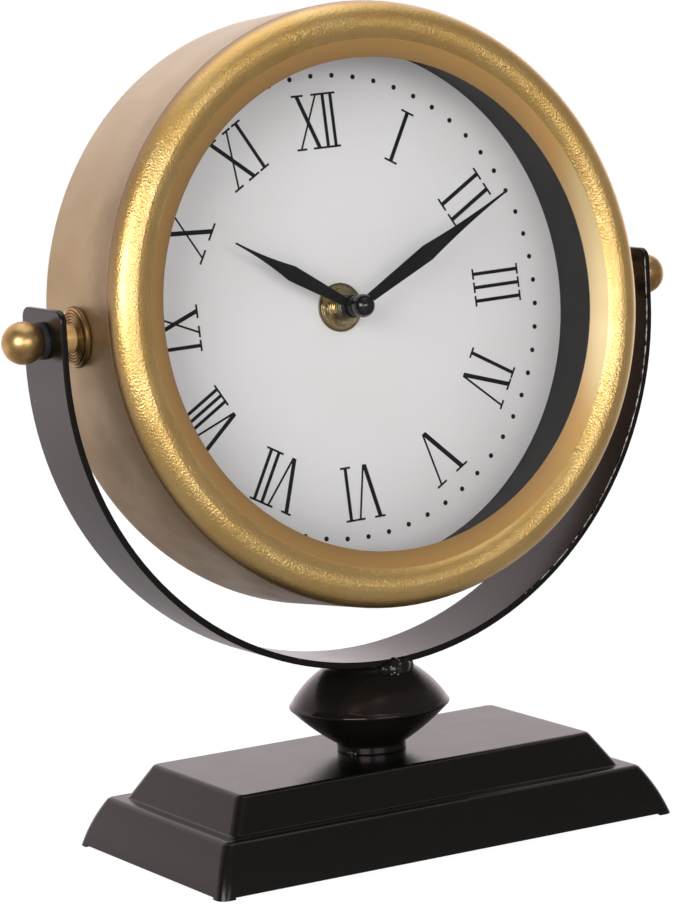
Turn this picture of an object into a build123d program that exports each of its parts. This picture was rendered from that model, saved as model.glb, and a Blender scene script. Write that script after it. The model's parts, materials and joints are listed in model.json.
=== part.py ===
from build123d import *
import os
from math import acos, cos, pi, radians, sin, sqrt, tan

# Desk clock: a round case that tilts in a strap yoke on a stepped base.
# Millimetres and degrees. Origin at the table, under the middle of the base, +Z up, dial towards -Y.
# The case is drawn square, with its origin on the tilt axis and +Y towards its back, then leaned back.

# Driving dimensions of the base
base_width = 158.0
base_depth = 92.0
base_height = 25.7
ledge_height = 15.4
skirt_inset = 6.8
ledge_width = 4.5
top_inset = 6.2
skirt_bulge = 0.7
base_corner = 3.0
top_edge = 2.0
ledge_edge = 2.4
foot_edge = 0.8
base_sheet = 1.2
toe_length = 5.0
toe_drop = 0.6
cover_thick = 2.0
pad_height = 1.0
pad_radius = 6.0
pad_inset = 16.0

# Driving dimensions of the stem
knob_radius = 24.5
knob_height = 27.35
rim_rise = 14.1
rim_land = 1.6
rim_bulge = 0.55
neck_radius = 11.0
neck_land = 0.6
crown_radius = 12.6
crown_land = 1.3
bowl_bulge = 1.6
dome_bulge = 1.0
stud_radius = 3.0
stud_grip = 18.0
stem_nut_flats = 10.0
stem_nut_thick = 5.0
stem_washer_radius = 9.0
stem_washer_thick = 1.6

# Driving dimensions of the yoke
strap_drop = 6.4
strap_thick = 2.0
strap_width = 25.6
ear_rise = 9.3
ear_corner = 3.5
strap_edge = 0.5

# Driving dimensions of the pivots
pivot_radius = 2.0
ball_radius = 6.25
ball_seat = 4.2
collar_radius = 5.4
collar_thick = 1.5
spacer_radius = 4.15
spacer_length = 7.05
rosette_radius = 9.0
rosette_thick = 2.75
rosette_step = 0.5
pivot_nut_flats = 7.0
pivot_nut_thick = 3.2
stud_tail = 0.8

# Driving dimensions of the case
lean = 5.5
drum_radius = 90.0
drum_sheet = 1.0
drum_back = 22.6
drum_front = 19.2
rear_corner = 1.8
rear_rim = 6.0
bezel_width = 16.9
roll_radius = 6.5
crest_radius = 7.0
crest_turn = 45.0
roll_wall = 2.0
band_angle = 23.3
lip_thick = 1.0
sleeve_length = 8.0
panel_thick = 0.8
screw_radius = 1.4
screw_head_radius = 2.8
screw_head_height = 1.6
screw_tail = 2.0
recess_width = 0.7
recess_length = 3.2
recess_depth = 0.9

# Driving dimensions of the dial and its glass
dial_depth = 5.1
glass_thick = 1.8
glass_seat = 0.9
reveal_setback = 6.4
reveal_lip = 1.0
reveal_flange = 1.0
print_thick = 0.2
board_thick = 1.2
dial_ring_width = 1.8
dial_ring_thick = 1.5
dial_ring_gap = 12.0

# Driving dimensions of the movement
movement_corner = 4.0
movement_wall = 1.2
front_wall = 1.0
front_depth = 5.1
plate_thick = 1.0
gasket_thick = 0.6
gasket_radius = 9.0
bushing_radius = 4.0
bushing_flange = 0.7
bushing_end = 1.2
dial_washer_radius = 7.35
dial_washer_thick = 0.8
dial_nut_flats = 10.6
dial_nut_thick = 2.2

# Driving dimensions of the motion work
pinion_teeth = 12
wheel_teeth = 36
set_pinion_teeth = 10
hour_teeth = 40
centre_distance = 7.5
pressure_angle = 20.0
addendum = 0.8
dedendum = 1.2
tooth_share = 0.42
gear_face = 1.0
gear_gap = 0.4
arbor_radius = 1.25
hour_tube_wall = 0.9
pivot_tip_radius = 0.7
set_stem_radius = 1.2
set_boss_height = 0.6
set_boss_radius = 1.9
set_knob_radius = 6.0
set_knob_thick = 3.6
set_knob_flutes = 18

# Driving dimensions of the hands
hour_gap = 2.5
minute_gap = 1.8
hand_thick = 0.5
hour_margin = 35.8
hour_waist = 23.0
hour_width = 4.8
minute_margin = 16.1
minute_waist = 29.0
minute_width = 5.2
hand_root = 2.4
hand_tip = 0.5
hand_hollow = 0.5
hour_boss_radius = 3.4
minute_boss_radius = 3.3
hand_boss_length = 1.5
hour_angle = -59.3
minute_angle = 61.7
cap_radius = 3.55
cap_standoff = 1.7
cap_hole = 1.2

# Driving dimensions of the dry cell and its bay
cell_radius = 7.25
cell_length = 50.5
cell_nub_radius = 2.75
cell_nub_length = 1.0
spring_room = 2.6
bay_wall = 1.0
contact_thick = 0.4
contact_size = 9.0

# Driving dimensions of the coil
coil_radius = 3.2
coil_length = 16.0
coil_flange = 1.0
coil_winding_radius = 2.6
core_radius = 0.9
core_overhang = 3.0
coil_rise = 19.5
circuit_width = 22.0
circuit_height = 11.0
circuit_thick = 0.8

# Clearances
running_gap = 0.05
seat_gap = 0.05
slip_gap = 0.1
hole_gap = 0.25
cell_gap = 0.3
boss_gap = 0.4
bay_gap = 0.45

# Size of the movement, which is made to take the cell
movement_size = cell_length + contact_thick + slip_gap + spring_room + 2 * movement_wall
movement_depth = front_wall + 2 * (cell_radius + cell_gap)
half_movement = movement_size / 2
bay_width = 2 * (cell_radius + bay_gap)
bay_z = -half_movement + movement_wall + bay_width / 2
bushing_flange_radius = centre_distance - set_boss_radius - boss_gap
hour_tube_radius = arbor_radius + running_gap + hour_tube_wall

# Depths in the case, counted back from the tilt axis
drum_inner = drum_radius - drum_sheet
board_front = dial_depth + print_thick
board_back = board_front + board_thick
movement_front_y = board_back + gasket_thick
gear_room_y = movement_front_y + front_wall
plate_y = movement_front_y + front_depth
back_case_y = plate_y + plate_thick
movement_back_y = movement_front_y + movement_depth
hour_wheel_y = gear_room_y + bushing_flange + slip_gap
set_pinion_y = gear_room_y + set_boss_height + slip_gap
set_wheel_y = hour_wheel_y + gear_face + gear_gap
knob_y = movement_back_y + cell_gap
cell_y = gear_room_y + cell_gap + cell_radius
nut_y = dial_depth - dial_washer_thick - dial_nut_thick
bushing_y = nut_y - bushing_end
hour_hand_y = bushing_y - hour_gap - hand_boss_length
minute_hand_y = hour_hand_y - hand_thick - minute_gap - hand_boss_length

# The bezel's rolled front and sloping band
opening_radius = drum_radius - bezel_width
roll_centre = drum_radius - slip_gap - roll_radius
band_out = (-sin(radians(band_angle)), -cos(radians(band_angle)))
band_in = (-cos(radians(band_angle)), sin(radians(band_angle)))
crest_centre = -drum_front - roll_radius + crest_radius
crest_out = (-sin(radians(crest_turn)), -cos(radians(crest_turn)))
band_start = (roll_centre + crest_radius * crest_out[0], crest_centre + crest_radius * crest_out[1])
band_run = (band_start[0] - opening_radius) / cos(radians(band_angle))
lip_y = band_start[1] + band_run * band_in[1]
lip_back = (opening_radius - lip_thick * band_out[0], lip_y - lip_thick * band_out[1])
glass_front = lip_back[1] + seat_gap
glass_back = glass_front + glass_thick
reveal_radius = opening_radius + reveal_setback
glass_radius = reveal_radius + glass_seat
reveal_outer = glass_radius + slip_gap + reveal_lip
hour_length = reveal_radius - hour_margin
minute_length = reveal_radius - minute_margin

# Places along the tilt axis
rosette_outer = drum_radius + rosette_thick
spacer_outer = rosette_outer + spacer_length
ear_inner = spacer_outer + seat_gap
ear_outer = ear_inner + strap_thick
collar_outer = ear_outer + collar_thick
ball_face = collar_outer + seat_gap
ball_x = ball_face + sqrt(ball_radius**2 - ball_seat**2)
nut_corner = pivot_nut_flats / 2 / cos(pi / 6)
pivot_nut_outer = sqrt(drum_inner**2 - nut_corner**2) - seat_gap
pivot_nut_inner = pivot_nut_outer - pivot_nut_thick
pivot_stud_end = pivot_nut_inner - stud_tail

# Heights in the stand
shell_bottom = pad_height - toe_drop
rim_height = base_height + rim_rise
strap_bottom = base_height + knob_height
strap_centre = strap_bottom + ear_outer
pivot_height = strap_centre + strap_drop

DEPTH = Plane(origin=(0, 0, 0), x_dir=(1, 0, 0), z_dir=(0, 1, 0))


def outline(points):
    """Closed face through (across, along) points in the XY plane."""
    return make_face(Polyline(*points, close=True))


def turned(points):
    """Solid of revolution about the dial axis: each point is (radius, depth)."""
    return revolve(outline(points), axis=Axis.Y)


def turned_x(points):
    """Solid of revolution about the tilt axis: each point is (distance along it, radius)."""
    return revolve(outline(points), axis=Axis.X)


def bush(inner, outer, near, far):
    """Plain ring about the tilt axis."""
    return turned_x([(near, inner), (near, outer), (far, outer), (far, inner)])


def ring(inner, outer, front, back):
    """Plain ring about the dial axis."""
    return turned([(inner, front), (outer, front), (outer, back), (inner, back)])


def disc(radius, front, back):
    """Plain disc about the dial axis."""
    return turned([(0, front), (radius, front), (radius, back), (0, back)])


def plate(sketch, front, back):
    """A sketch in the dial plane, with its height counted downwards, carried from front to back."""
    return extrude(DEPTH.offset(front) * sketch, amount=back - front)


def block(low, high):
    """Box between two corners."""
    size = [b - a for a, b in zip(low, high)]
    middle = [(a + b) / 2 for a, b in zip(low, high)]
    return Pos(*middle) * Box(*size)


def hexagon(flats):
    """Hexagon with two flats square to its second axis."""
    return RegularPolygon(flats / 2, 6, major_radius=False, rotation=0)


def bulged(start, end, bulge):
    """Arc from start to end that stands out to the right of the way by its bulge."""
    run = (end[0] - start[0], end[1] - start[1])
    length = sqrt(run[0] ** 2 + run[1] ** 2)
    middle = ((start[0] + end[0]) / 2 + bulge * run[1] / length, (start[1] + end[1]) / 2 - bulge * run[0] / length)
    return ThreePointArc(start, middle, end)


def leaned(piece):
    """Moves a piece of the case from its square drawing to its place in the yoke."""
    return Pos(0, 0, pivot_height) * Rot(-lean, 0, 0) * piece


# Base

def tiered(inset, bottom):
    """The base's two sloping tiers, the lower one bulged, with every face moved in by the inset."""
    def tier(inward, height):
        size = (base_width - 2 * (inward + inset), base_depth - 2 * (inward + inset))
        return Pos(0, 0, height) * RectangleRounded(*size, base_corner)

    step_inset = skirt_inset + ledge_width
    middle = tier(skirt_inset / 2 - skirt_bulge, (bottom + ledge_height - inset) / 2)
    skirt = loft([tier(0, bottom), middle, tier(skirt_inset, ledge_height - inset)])
    slope = top_inset / (base_height - ledge_height)
    start = ledge_height - inset - ledge_edge
    upper = loft([tier(step_inset - slope * ledge_edge, start), tier(step_inset + top_inset, base_height - inset)])
    return skirt, upper


def base_shell():
    skirt, upper = tiered(0, shell_bottom)
    skirt = fillet(skirt.faces().sort_by(Axis.Z)[-1].edges(), ledge_edge)
    upper = fillet(upper.faces().sort_by(Axis.Z)[-1].edges(), top_edge)
    outer = skirt + upper
    ledge = outer.faces().filter_by(Plane.XY).sort_by(Axis.Z)[1]
    shell = fillet(ledge.inner_wires()[0].edges(), foot_edge)
    for tier in tiered(base_sheet, shell_bottom):
        shell -= tier
    reach = 2 * base_sheet
    arches = [
        (base_width / 2 - toe_length, base_depth / 2 + reach),
        (base_width / 2 + reach, base_depth / 2 - toe_length),
    ]
    for x, y in arches:
        shell -= block((-x, -y, 0), (x, y, pad_height))
    return shell - Pos(0, 0, base_height) * Cylinder(stud_radius + hole_gap, 4 * base_sheet)


def cover_size():
    """Outline of the cover, which sits against the inside of the skirt at its upper edge."""
    rise = (pad_height + cover_thick - shell_bottom) / (ledge_height - base_sheet - shell_bottom)
    inset = base_sheet + slip_gap + rise * skirt_inset - 4 * skirt_bulge * rise * (1 - rise)
    return base_width - 2 * inset, base_depth - 2 * inset


def base_cover():
    return extrude(Pos(0, 0, pad_height) * RectangleRounded(*cover_size(), base_corner), amount=cover_thick)


def foot_pads():
    spread = [base_width - 2 * pad_inset, base_depth - 2 * pad_inset]
    pad = Pos(0, 0, pad_height / 2) * Cylinder(pad_radius, pad_height)
    return [Pos(place.position.X, place.position.Y, 0) * pad for place in GridLocations(*spread, 2, 2)]


# Stem

def stem_knob():
    """Lens-shaped knob: a bowl and a dome that meet at a narrow round rim, saddled to the strap."""
    neck_top = (neck_radius, base_height + neck_land)
    rim_low = (knob_radius - rim_bulge, rim_height - rim_land / 2)
    rim_high = (knob_radius - rim_bulge, rim_height + rim_land / 2)
    crown_low = (crown_radius, strap_bottom - crown_land)
    top = strap_centre - sqrt(ear_outer**2 - crown_radius**2) + crown_land
    side = [
        Line((0, base_height), (neck_radius, base_height)),
        Line((neck_radius, base_height), neck_top),
        bulged(neck_top, rim_low, bowl_bulge),
        bulged(rim_low, rim_high, rim_bulge),
        bulged(rim_high, crown_low, dome_bulge),
        Line(crown_low, (crown_radius, top)),
        Line((crown_radius, top), (0, top)),
        Line((0, top), (0, base_height)),
    ]
    knob = revolve(Plane.XZ * make_face(side), axis=Axis.Z)
    strap_bed = Pos(0, 0, strap_centre) * Rot(90, 0, 0) * Cylinder(ear_outer, 4 * crown_radius)
    bore = Pos(0, 0, base_height) * Cylinder(stud_radius, 2 * stud_grip)
    return knob - strap_bed - bore


def stud_foot():
    """Height of the stud's lower end, just below its nut."""
    return base_height - base_sheet - stem_washer_thick - stem_nut_thick - stem_washer_thick


def stem_stud():
    low = stud_foot()
    high = base_height + stud_grip
    return Pos(0, 0, (low + high) / 2) * Cylinder(stud_radius, high - low)


def stem_washer():
    high = base_height - base_sheet
    shape = Circle(stem_washer_radius) - Circle(stud_radius + hole_gap)
    return extrude(Pos(0, 0, high - stem_washer_thick) * shape, amount=stem_washer_thick)


def stem_nut():
    high = base_height - base_sheet - stem_washer_thick
    shape = hexagon(stem_nut_flats) - Circle(stud_radius + running_gap)
    return extrude(Pos(0, 0, high - stem_nut_thick) * shape, amount=stem_nut_thick)


# Yoke

def yoke():
    """Flat strap bent to a half circle, with straight ears that carry the pivots."""
    def bow(radius):
        """Ear, half circle and ear, as one open line at the given radius."""
        return [
            Line((-radius, pivot_height + ear_rise), (-radius, strap_centre)),
            ThreePointArc((-radius, strap_centre), (0, strap_centre - radius), (radius, strap_centre)),
            Line((radius, strap_centre), (radius, pivot_height + ear_rise)),
        ]

    tops = [
        Line((side * ear_inner, pivot_height + ear_rise), (side * ear_outer, pivot_height + ear_rise))
        for side in (-1, 1)
    ]
    section = make_face(bow(ear_outer) + bow(ear_inner) + tops)
    strap = extrude(Plane.XZ * section, amount=strap_width / 2, both=True)
    corners = strap.edges().filter_by(Axis.X).filter_by_position(Axis.Z, pivot_height, pivot_height + 2 * ear_rise)
    strap = fillet(corners, ear_corner)
    sides = strap.edges().group_by(Axis.Y)
    strap = fillet(sides[0] + sides[-1], strap_edge)
    hole = Rot(0, 90, 0) * Cylinder(pivot_radius + running_gap, 3 * ear_outer)
    return strap - Pos(0, 0, pivot_height) * hole


# Pivots, drawn on the right and mirrored to the left

def collar():
    """Washer between ball and ear, which stays with the ear."""
    return Pos(0, 0, pivot_height) * bush(pivot_radius + running_gap, collar_radius, ear_outer, collar_outer)


def finial():
    """Ball-headed pivot screw."""
    profile = [
        Line((pivot_stud_end, 0), (pivot_stud_end, pivot_radius)),
        Line((pivot_stud_end, pivot_radius), (ball_face, pivot_radius)),
        Line((ball_face, pivot_radius), (ball_face, ball_seat)),
        ThreePointArc((ball_face, ball_seat), (ball_x, ball_radius), (ball_x + ball_radius, 0)),
        Line((ball_x + ball_radius, 0), (pivot_stud_end, 0)),
    ]
    return revolve(make_face(profile), axis=Axis.X)


def spacer():
    """Plain bush between rosette and ear."""
    return bush(pivot_radius + slip_gap, spacer_radius, rosette_outer, spacer_outer)


def rosette():
    """Turned washer with a stepped rim and two rings on its face."""
    inner = pivot_radius + slip_gap
    face = rosette_outer - rosette_step
    middle = drum_radius + rosette_thick / 2
    ring_width = (rosette_radius - spacer_radius) / 5
    profile = [(drum_radius, inner), (drum_radius, rosette_radius - rosette_step)]
    profile += [(middle, rosette_radius - rosette_step), (middle, rosette_radius), (face, rosette_radius)]
    for count in range(1, 5):
        radius = rosette_radius - count * ring_width
        near, far = (face, rosette_outer) if count % 2 else (rosette_outer, face)
        profile += [(near, radius), (far, radius)]
    profile += [(face, spacer_radius), (rosette_outer, spacer_radius), (rosette_outer, inner)]
    return turned_x(profile)


def pivot_nut():
    shape = hexagon(pivot_nut_flats) - Circle(pivot_radius + running_gap)
    return extrude(Plane.YZ.offset(pivot_nut_inner) * Rot(0, 0, 90) * shape, amount=pivot_nut_thick)


# Case

def drum_shell():
    """Band with a rounded rear corner turned in to a rim, bored for the pivots and the back screws."""
    back = drum_back
    inner_back = back - drum_sheet
    corner = (drum_radius - rear_corner, back - rear_corner)
    diagonal = rear_corner / sqrt(2)
    rim = drum_radius - rear_rim
    profile = [
        Line((drum_inner, -drum_front), (drum_radius, -drum_front)),
        Line((drum_radius, -drum_front), (drum_radius, corner[1])),
        ThreePointArc((drum_radius, corner[1]), (corner[0] + diagonal, corner[1] + diagonal), (corner[0], back)),
        Line((corner[0], back), (rim, back)),
        Line((rim, back), (rim, inner_back)),
        Line((rim, inner_back), (drum_inner, inner_back)),
        Line((drum_inner, inner_back), (drum_inner, -drum_front)),
    ]
    shell = revolve(make_face(profile), axis=Axis.Y)
    shell -= Rot(0, 90, 0) * Cylinder(pivot_radius + hole_gap, 3 * drum_radius)
    for place in screw_places():
        shell -= place * Cylinder(screw_radius + hole_gap, 4 * drum_sheet)
    return shell


def bezel():
    """Rolled ring: sleeve inside the drum, shoulder, crest, a crease, and a band sloping in to the glass."""
    def front(offset):
        """Shoulder and crest of the roll, set in from its outside by the offset."""
        shoulder = roll_radius - offset
        crest = crest_radius - offset
        top = (roll_centre, -drum_front - shoulder)
        start = (roll_centre + shoulder, -drum_front)
        diagonal = shoulder / sqrt(2)
        half_turn = radians(crest_turn / 2)
        bend = (roll_centre - crest * sin(half_turn), crest_centre - crest * cos(half_turn))
        end = (roll_centre + crest * crest_out[0], crest_centre + crest * crest_out[1])
        return start, end, [
            ThreePointArc(start, (roll_centre + diagonal, -drum_front - diagonal), top),
            ThreePointArc(top, bend, end),
        ]

    outer_start, outer_end, outer_arcs = front(0)
    inner_start, inner_end, inner_arcs = front(roll_wall)
    lip = (opening_radius, lip_y)
    sleeve_outer = drum_inner - slip_gap
    sleeve_end = -drum_front + sleeve_length
    profile = outer_arcs + inner_arcs + [
        Line(outer_end, lip),
        Line(lip, lip_back),
        Line(lip_back, inner_end),
        Line(inner_start, (inner_start[0], sleeve_end)),
        Line((inner_start[0], sleeve_end), (sleeve_outer, sleeve_end)),
        Line((sleeve_outer, sleeve_end), (sleeve_outer, -drum_front)),
        Line((sleeve_outer, -drum_front), outer_start),
    ]
    return revolve(make_face(profile), axis=Axis.Y)


def glass_pane():
    return disc(glass_radius, glass_front, glass_back)


def reveal_ring():
    """Black sleeve from the glass to the dial, rebated for the glass and flanged to the drum."""
    rebate = glass_radius + slip_gap
    flange_front = dial_depth - reveal_flange
    flange_outer = drum_inner - slip_gap
    return turned([
        (rebate, glass_front),
        (reveal_outer, glass_front),
        (reveal_outer, flange_front),
        (flange_outer, flange_front),
        (flange_outer, dial_depth),
        (reveal_radius, dial_depth),
        (reveal_radius, glass_back),
        (rebate, glass_back),
    ])


def dial_print():
    return ring(bushing_radius + slip_gap, drum_inner - slip_gap, dial_depth, board_front)


def dial_board():
    return ring(bushing_radius + slip_gap, drum_inner - slip_gap, board_front, board_back)


def dial_ring():
    """Split ring that holds the dial against the sleeve's flange."""
    outer = drum_inner - slip_gap
    whole = ring(outer - dial_ring_width, outer, board_back, board_back + dial_ring_thick)
    half = dial_ring_gap / 2
    return whole - block((-half, board_back, -drum_radius), (half, drum_back, 0))


def back_panel():
    """Back sheet inside the rim, with a window for the movement."""
    back = drum_back - drum_sheet
    panel = disc(drum_inner - slip_gap, back - panel_thick, back)
    window = movement_size + 2 * cell_gap
    panel -= plate(RectangleRounded(window, window, movement_corner), back - 2 * panel_thick, drum_back)
    for place in screw_places():
        panel -= place * Cylinder(screw_radius, 4 * (drum_sheet + panel_thick))
    return panel


def screw_places():
    """The four back screws on the rim, with each place's Z pointing out of the back."""
    radius = drum_radius - (rear_rim + drum_sheet) / 2
    return [DEPTH.offset(drum_back).location * place for place in PolarLocations(radius, 4, 45)]


def back_screws():
    length = drum_sheet + panel_thick + screw_tail
    shank = Pos(0, 0, -length / 2) * Cylinder(screw_radius, length)
    head = Pos(0, 0, screw_head_height / 2) * Cylinder(screw_head_radius, screw_head_height)
    head = fillet(head.edges().sort_by(Axis.Z)[-1], screw_head_height / 2)
    for turn in (0, 90):
        slot = Rot(0, 0, turn) * Box(recess_length, recess_width, 2 * recess_depth)
        head -= Pos(0, 0, screw_head_height) * slot
    return [place * (shank + head) for place in screw_places()]


# Movement

def compartments(front, back):
    """The gear room and the cell's bay inside the movement's outline, from front to back."""
    inside = half_movement - movement_wall
    bay_top = bay_z + bay_width / 2
    gears = block((-inside, front, bay_top + bay_wall), (inside, back, inside))
    bay = block((-inside, front, bay_z - bay_width / 2), (inside, back, bay_top))
    return gears, bay


def movement_outline():
    return RectangleRounded(movement_size, movement_size, movement_corner)


def movement_front():
    """Front tray with the bushing's hole and the setting wheel's bearing boss."""
    gears, bay = compartments(gear_room_y, plate_y + plate_thick)
    tray = plate(movement_outline(), movement_front_y, plate_y) - gears - bay
    tray -= disc(bushing_radius, movement_front_y - front_wall, gear_room_y + front_wall)
    boss = disc(set_boss_radius, gear_room_y, gear_room_y + set_boss_height)
    pit = disc(pivot_tip_radius + running_gap, movement_front_y + front_wall / 2, plate_y)
    return tray + Pos(0, 0, centre_distance) * boss - Pos(0, 0, centre_distance) * pit


def movement_plate():
    """Plate between the two trays that carries the arbor's rear pivot and the setting stem."""
    gears, bay = compartments(plate_y, back_case_y)
    sheet = plate(movement_outline(), plate_y, back_case_y) - bay
    sheet -= disc(pivot_tip_radius + running_gap, plate_y - plate_thick, back_case_y + plate_thick)
    stem_hole = disc(set_stem_radius + running_gap, plate_y - plate_thick, back_case_y + plate_thick)
    return sheet - Pos(0, 0, centre_distance) * stem_hole


def movement_back():
    """Rear tray: closed behind the gears, open behind the cell."""
    gears = compartments(plate_y, movement_back_y - movement_wall)[0]
    bay = compartments(plate_y, movement_back_y + movement_wall)[1]
    tray = plate(movement_outline(), back_case_y, movement_back_y) - gears - bay
    stem_hole = disc(set_stem_radius + running_gap, plate_y, movement_back_y + movement_wall)
    return tray - Pos(0, 0, centre_distance) * stem_hole


def dial_bushing():
    """Threaded tube through the dial, flanged inside the movement, bored for the hour tube."""
    back = gear_room_y + bushing_flange
    bore = hour_tube_radius + running_gap
    return turned([
        (bore, bushing_y),
        (bushing_radius, bushing_y),
        (bushing_radius, gear_room_y),
        (bushing_flange_radius, gear_room_y),
        (bushing_flange_radius, back),
        (bore, back),
    ])


def dial_gasket():
    return ring(bushing_radius + slip_gap, gasket_radius, board_back, movement_front_y)


def dial_washer():
    return ring(bushing_radius + slip_gap, dial_washer_radius, dial_depth - dial_washer_thick, dial_depth)


def dial_nut():
    shape = hexagon(dial_nut_flats) - Circle(bushing_radius + running_gap)
    return plate(shape, nut_y, nut_y + dial_nut_thick)


# Motion work

def gear(teeth, radius, front, back, pointing):
    """Involute wheel about the dial axis, with one tooth pointing at an angle counted down from +X."""
    module = 2 * radius / teeth
    tip = radius + addendum * module
    root = radius - dedendum * module
    base = radius * cos(radians(pressure_angle))

    def half_angle(reach):
        """Half of a tooth's angle at a radius, thinned for backlash."""
        def involute(at):
            slope = acos(min(1.0, base / at))
            return tan(slope) - slope
        return tooth_share * pi / teeth + involute(radius) - involute(reach)

    flank = [(reach, half_angle(reach)) for reach in (root, radius, tip)]
    points = []
    for tooth in range(teeth):
        middle = radians(pointing) + 2 * pi * tooth / teeth
        sides = [(reach, -half) for reach, half in flank] + [(reach, half) for reach, half in reversed(flank)]
        points += [(reach * cos(middle + turn), reach * sin(middle + turn)) for reach, turn in sides]
    return plate(outline(points), front, back)


def pitch_radii(first, second):
    """Pitch radii of two meshing gears at the motion work's centre distance."""
    return centre_distance * first / (first + second), centre_distance * second / (first + second)


def minute_arbor():
    """Centre arbor with its pinion and a thin rear pivot."""
    pinion_radius = pitch_radii(pinion_teeth, wheel_teeth)[0]
    pinion_front = hour_wheel_y + gear_face + gear_gap / 2
    pinion_back = set_wheel_y + gear_face + gear_gap / 2
    front = minute_hand_y - hand_thick - cap_hole
    shaft = disc(arbor_radius, front, pinion_back)
    tip = disc(pivot_tip_radius, pinion_back, back_case_y)
    return shaft + gear(pinion_teeth, pinion_radius, pinion_front, pinion_back, -90) + tip


def hour_wheel():
    """Hour wheel with the tube that carries the hour hand."""
    radius = pitch_radii(set_pinion_teeth, hour_teeth)[1]
    wheel = gear(hour_teeth, radius, hour_wheel_y, hour_wheel_y + gear_face, -90 + 180 / hour_teeth)
    tube = disc(hour_tube_radius, hour_hand_y - hand_thick, hour_wheel_y)
    bore = disc(arbor_radius + running_gap, hour_hand_y - 2 * hand_thick, hour_wheel_y + 2 * gear_face)
    return wheel + tube - bore


def set_wheel():
    """Setting wheel and pinion on the stem that runs out to the rear knob."""
    wheel_radius = pitch_radii(pinion_teeth, wheel_teeth)[1]
    pinion_radius = pitch_radii(set_pinion_teeth, hour_teeth)[0]
    wheel_back = set_wheel_y + gear_face
    arbor = gear(set_pinion_teeth, pinion_radius, set_pinion_y, set_wheel_y, 90)
    arbor += gear(wheel_teeth, wheel_radius, set_wheel_y, wheel_back, 90 + 180 / wheel_teeth)
    arbor += disc(pivot_tip_radius, movement_front_y + front_wall / 2 + running_gap, set_pinion_y)
    arbor += disc(set_stem_radius, wheel_back, knob_y + set_knob_thick / 2)
    return Pos(0, 0, centre_distance) * arbor


def set_knob():
    """Fluted thumb knob on the end of the setting stem."""
    flute = set_knob_radius * pi / set_knob_flutes / 2
    shape = Circle(set_knob_radius)
    for place in PolarLocations(set_knob_radius + flute / 2, set_knob_flutes):
        shape -= place * Circle(flute)
    knob = plate(shape, knob_y, knob_y + set_knob_thick)
    knob -= disc(set_stem_radius, knob_y - cell_gap, knob_y + set_knob_thick / 2)
    return Pos(0, 0, centre_distance) * knob


# Hands

def hand(length, waist, width, boss_radius, bore, back, angle):
    """Lance-shaped hand on a boss, hollowed towards its tip, pointing at a clock angle."""
    edge = []
    for side in (-1, 1):
        root = (side * hand_root / 2, 0)
        shoulder = (side * width / 2, -waist)
        tip = (side * hand_tip / 2, -length)
        edge += [Line(root, shoulder), bulged(shoulder, tip, side * hand_hollow)]
    ends = [Line((-hand_root / 2, 0), (hand_root / 2, 0)), Line((-hand_tip / 2, -length), (hand_tip / 2, -length))]
    blade = make_face(edge + ends)
    sheet = plate(blade + Circle(boss_radius), back - hand_thick, back)
    boss = disc(boss_radius, back, back + hand_boss_length)
    hole = disc(bore, back - 2 * hand_thick, back + 2 * hand_boss_length)
    return Rot(0, angle, 0) * (sheet + boss - hole)


def hour_hand():
    return hand(hour_length, hour_waist, hour_width, hour_boss_radius, hour_tube_radius, hour_hand_y, hour_angle)


def minute_hand():
    return hand(
        minute_length, minute_waist, minute_width, minute_boss_radius, arbor_radius, minute_hand_y, minute_angle
    )


def hand_cap():
    """Round nut on the end of the minute arbor."""
    seat = minute_hand_y - hand_thick
    centre = seat - cap_standoff
    foot = sqrt(cap_radius**2 - cap_standoff**2)
    profile = [
        Line((0, seat), (foot, seat)),
        ThreePointArc((foot, seat), (cap_radius, centre), (0, centre - cap_radius)),
        Line((0, centre - cap_radius), (0, seat)),
    ]
    return revolve(make_face(profile), axis=Axis.Y) - disc(arbor_radius, seat - cap_hole, seat + cap_hole)


# Dry cell, its contacts and the coil

def bay_end():
    """Half length of the bay."""
    return half_movement - movement_wall


def cell_end():
    """Place of the cell's nub along the bay."""
    return bay_end() - contact_thick - slip_gap


def cell():
    tip = cell_end()
    shoulder = tip - cell_nub_length
    tail = tip - cell_length
    profile = [(tail, 0), (tail, cell_radius), (shoulder, cell_radius)]
    profile += [(shoulder, cell_nub_radius), (tip, cell_nub_radius), (tip, 0)]
    return Pos(0, cell_y, bay_z) * turned_x(profile)


def contact_plus():
    half = contact_size / 2
    low = (bay_end() - contact_thick, cell_y - half, bay_z - half)
    return block(low, (bay_end(), cell_y + half, bay_z + half))


def contact_minus():
    """Bowed leaf between the bay's end and the cell's flat end."""
    half = contact_size / 2
    wall = -bay_end()
    crest = cell_end() - cell_length - slip_gap
    leaf = [
        ThreePointArc((wall, cell_y - half), (crest, cell_y), (wall, cell_y + half)),
        Line((wall, cell_y + half), (wall, cell_y + half - contact_thick)),
        ThreePointArc(
            (wall, cell_y + half - contact_thick),
            (crest - contact_thick, cell_y),
            (wall, cell_y - half + contact_thick),
        ),
        Line((wall, cell_y - half + contact_thick), (wall, cell_y - half)),
    ]
    return Pos(0, 0, bay_z) * extrude(make_face(leaf), amount=half, both=True)


def coil():
    """Bobbin with its winding, lying on the plate."""
    half = coil_length / 2
    inner = core_radius + slip_gap
    neck = half - coil_flange
    profile = [(-half, inner), (-half, coil_radius), (-neck, coil_radius), (-neck, coil_winding_radius)]
    profile += [(x * -1, radius) for x, radius in reversed(profile)]
    return Pos(0, back_case_y + coil_radius + seat_gap, coil_rise) * turned_x(profile)


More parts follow.
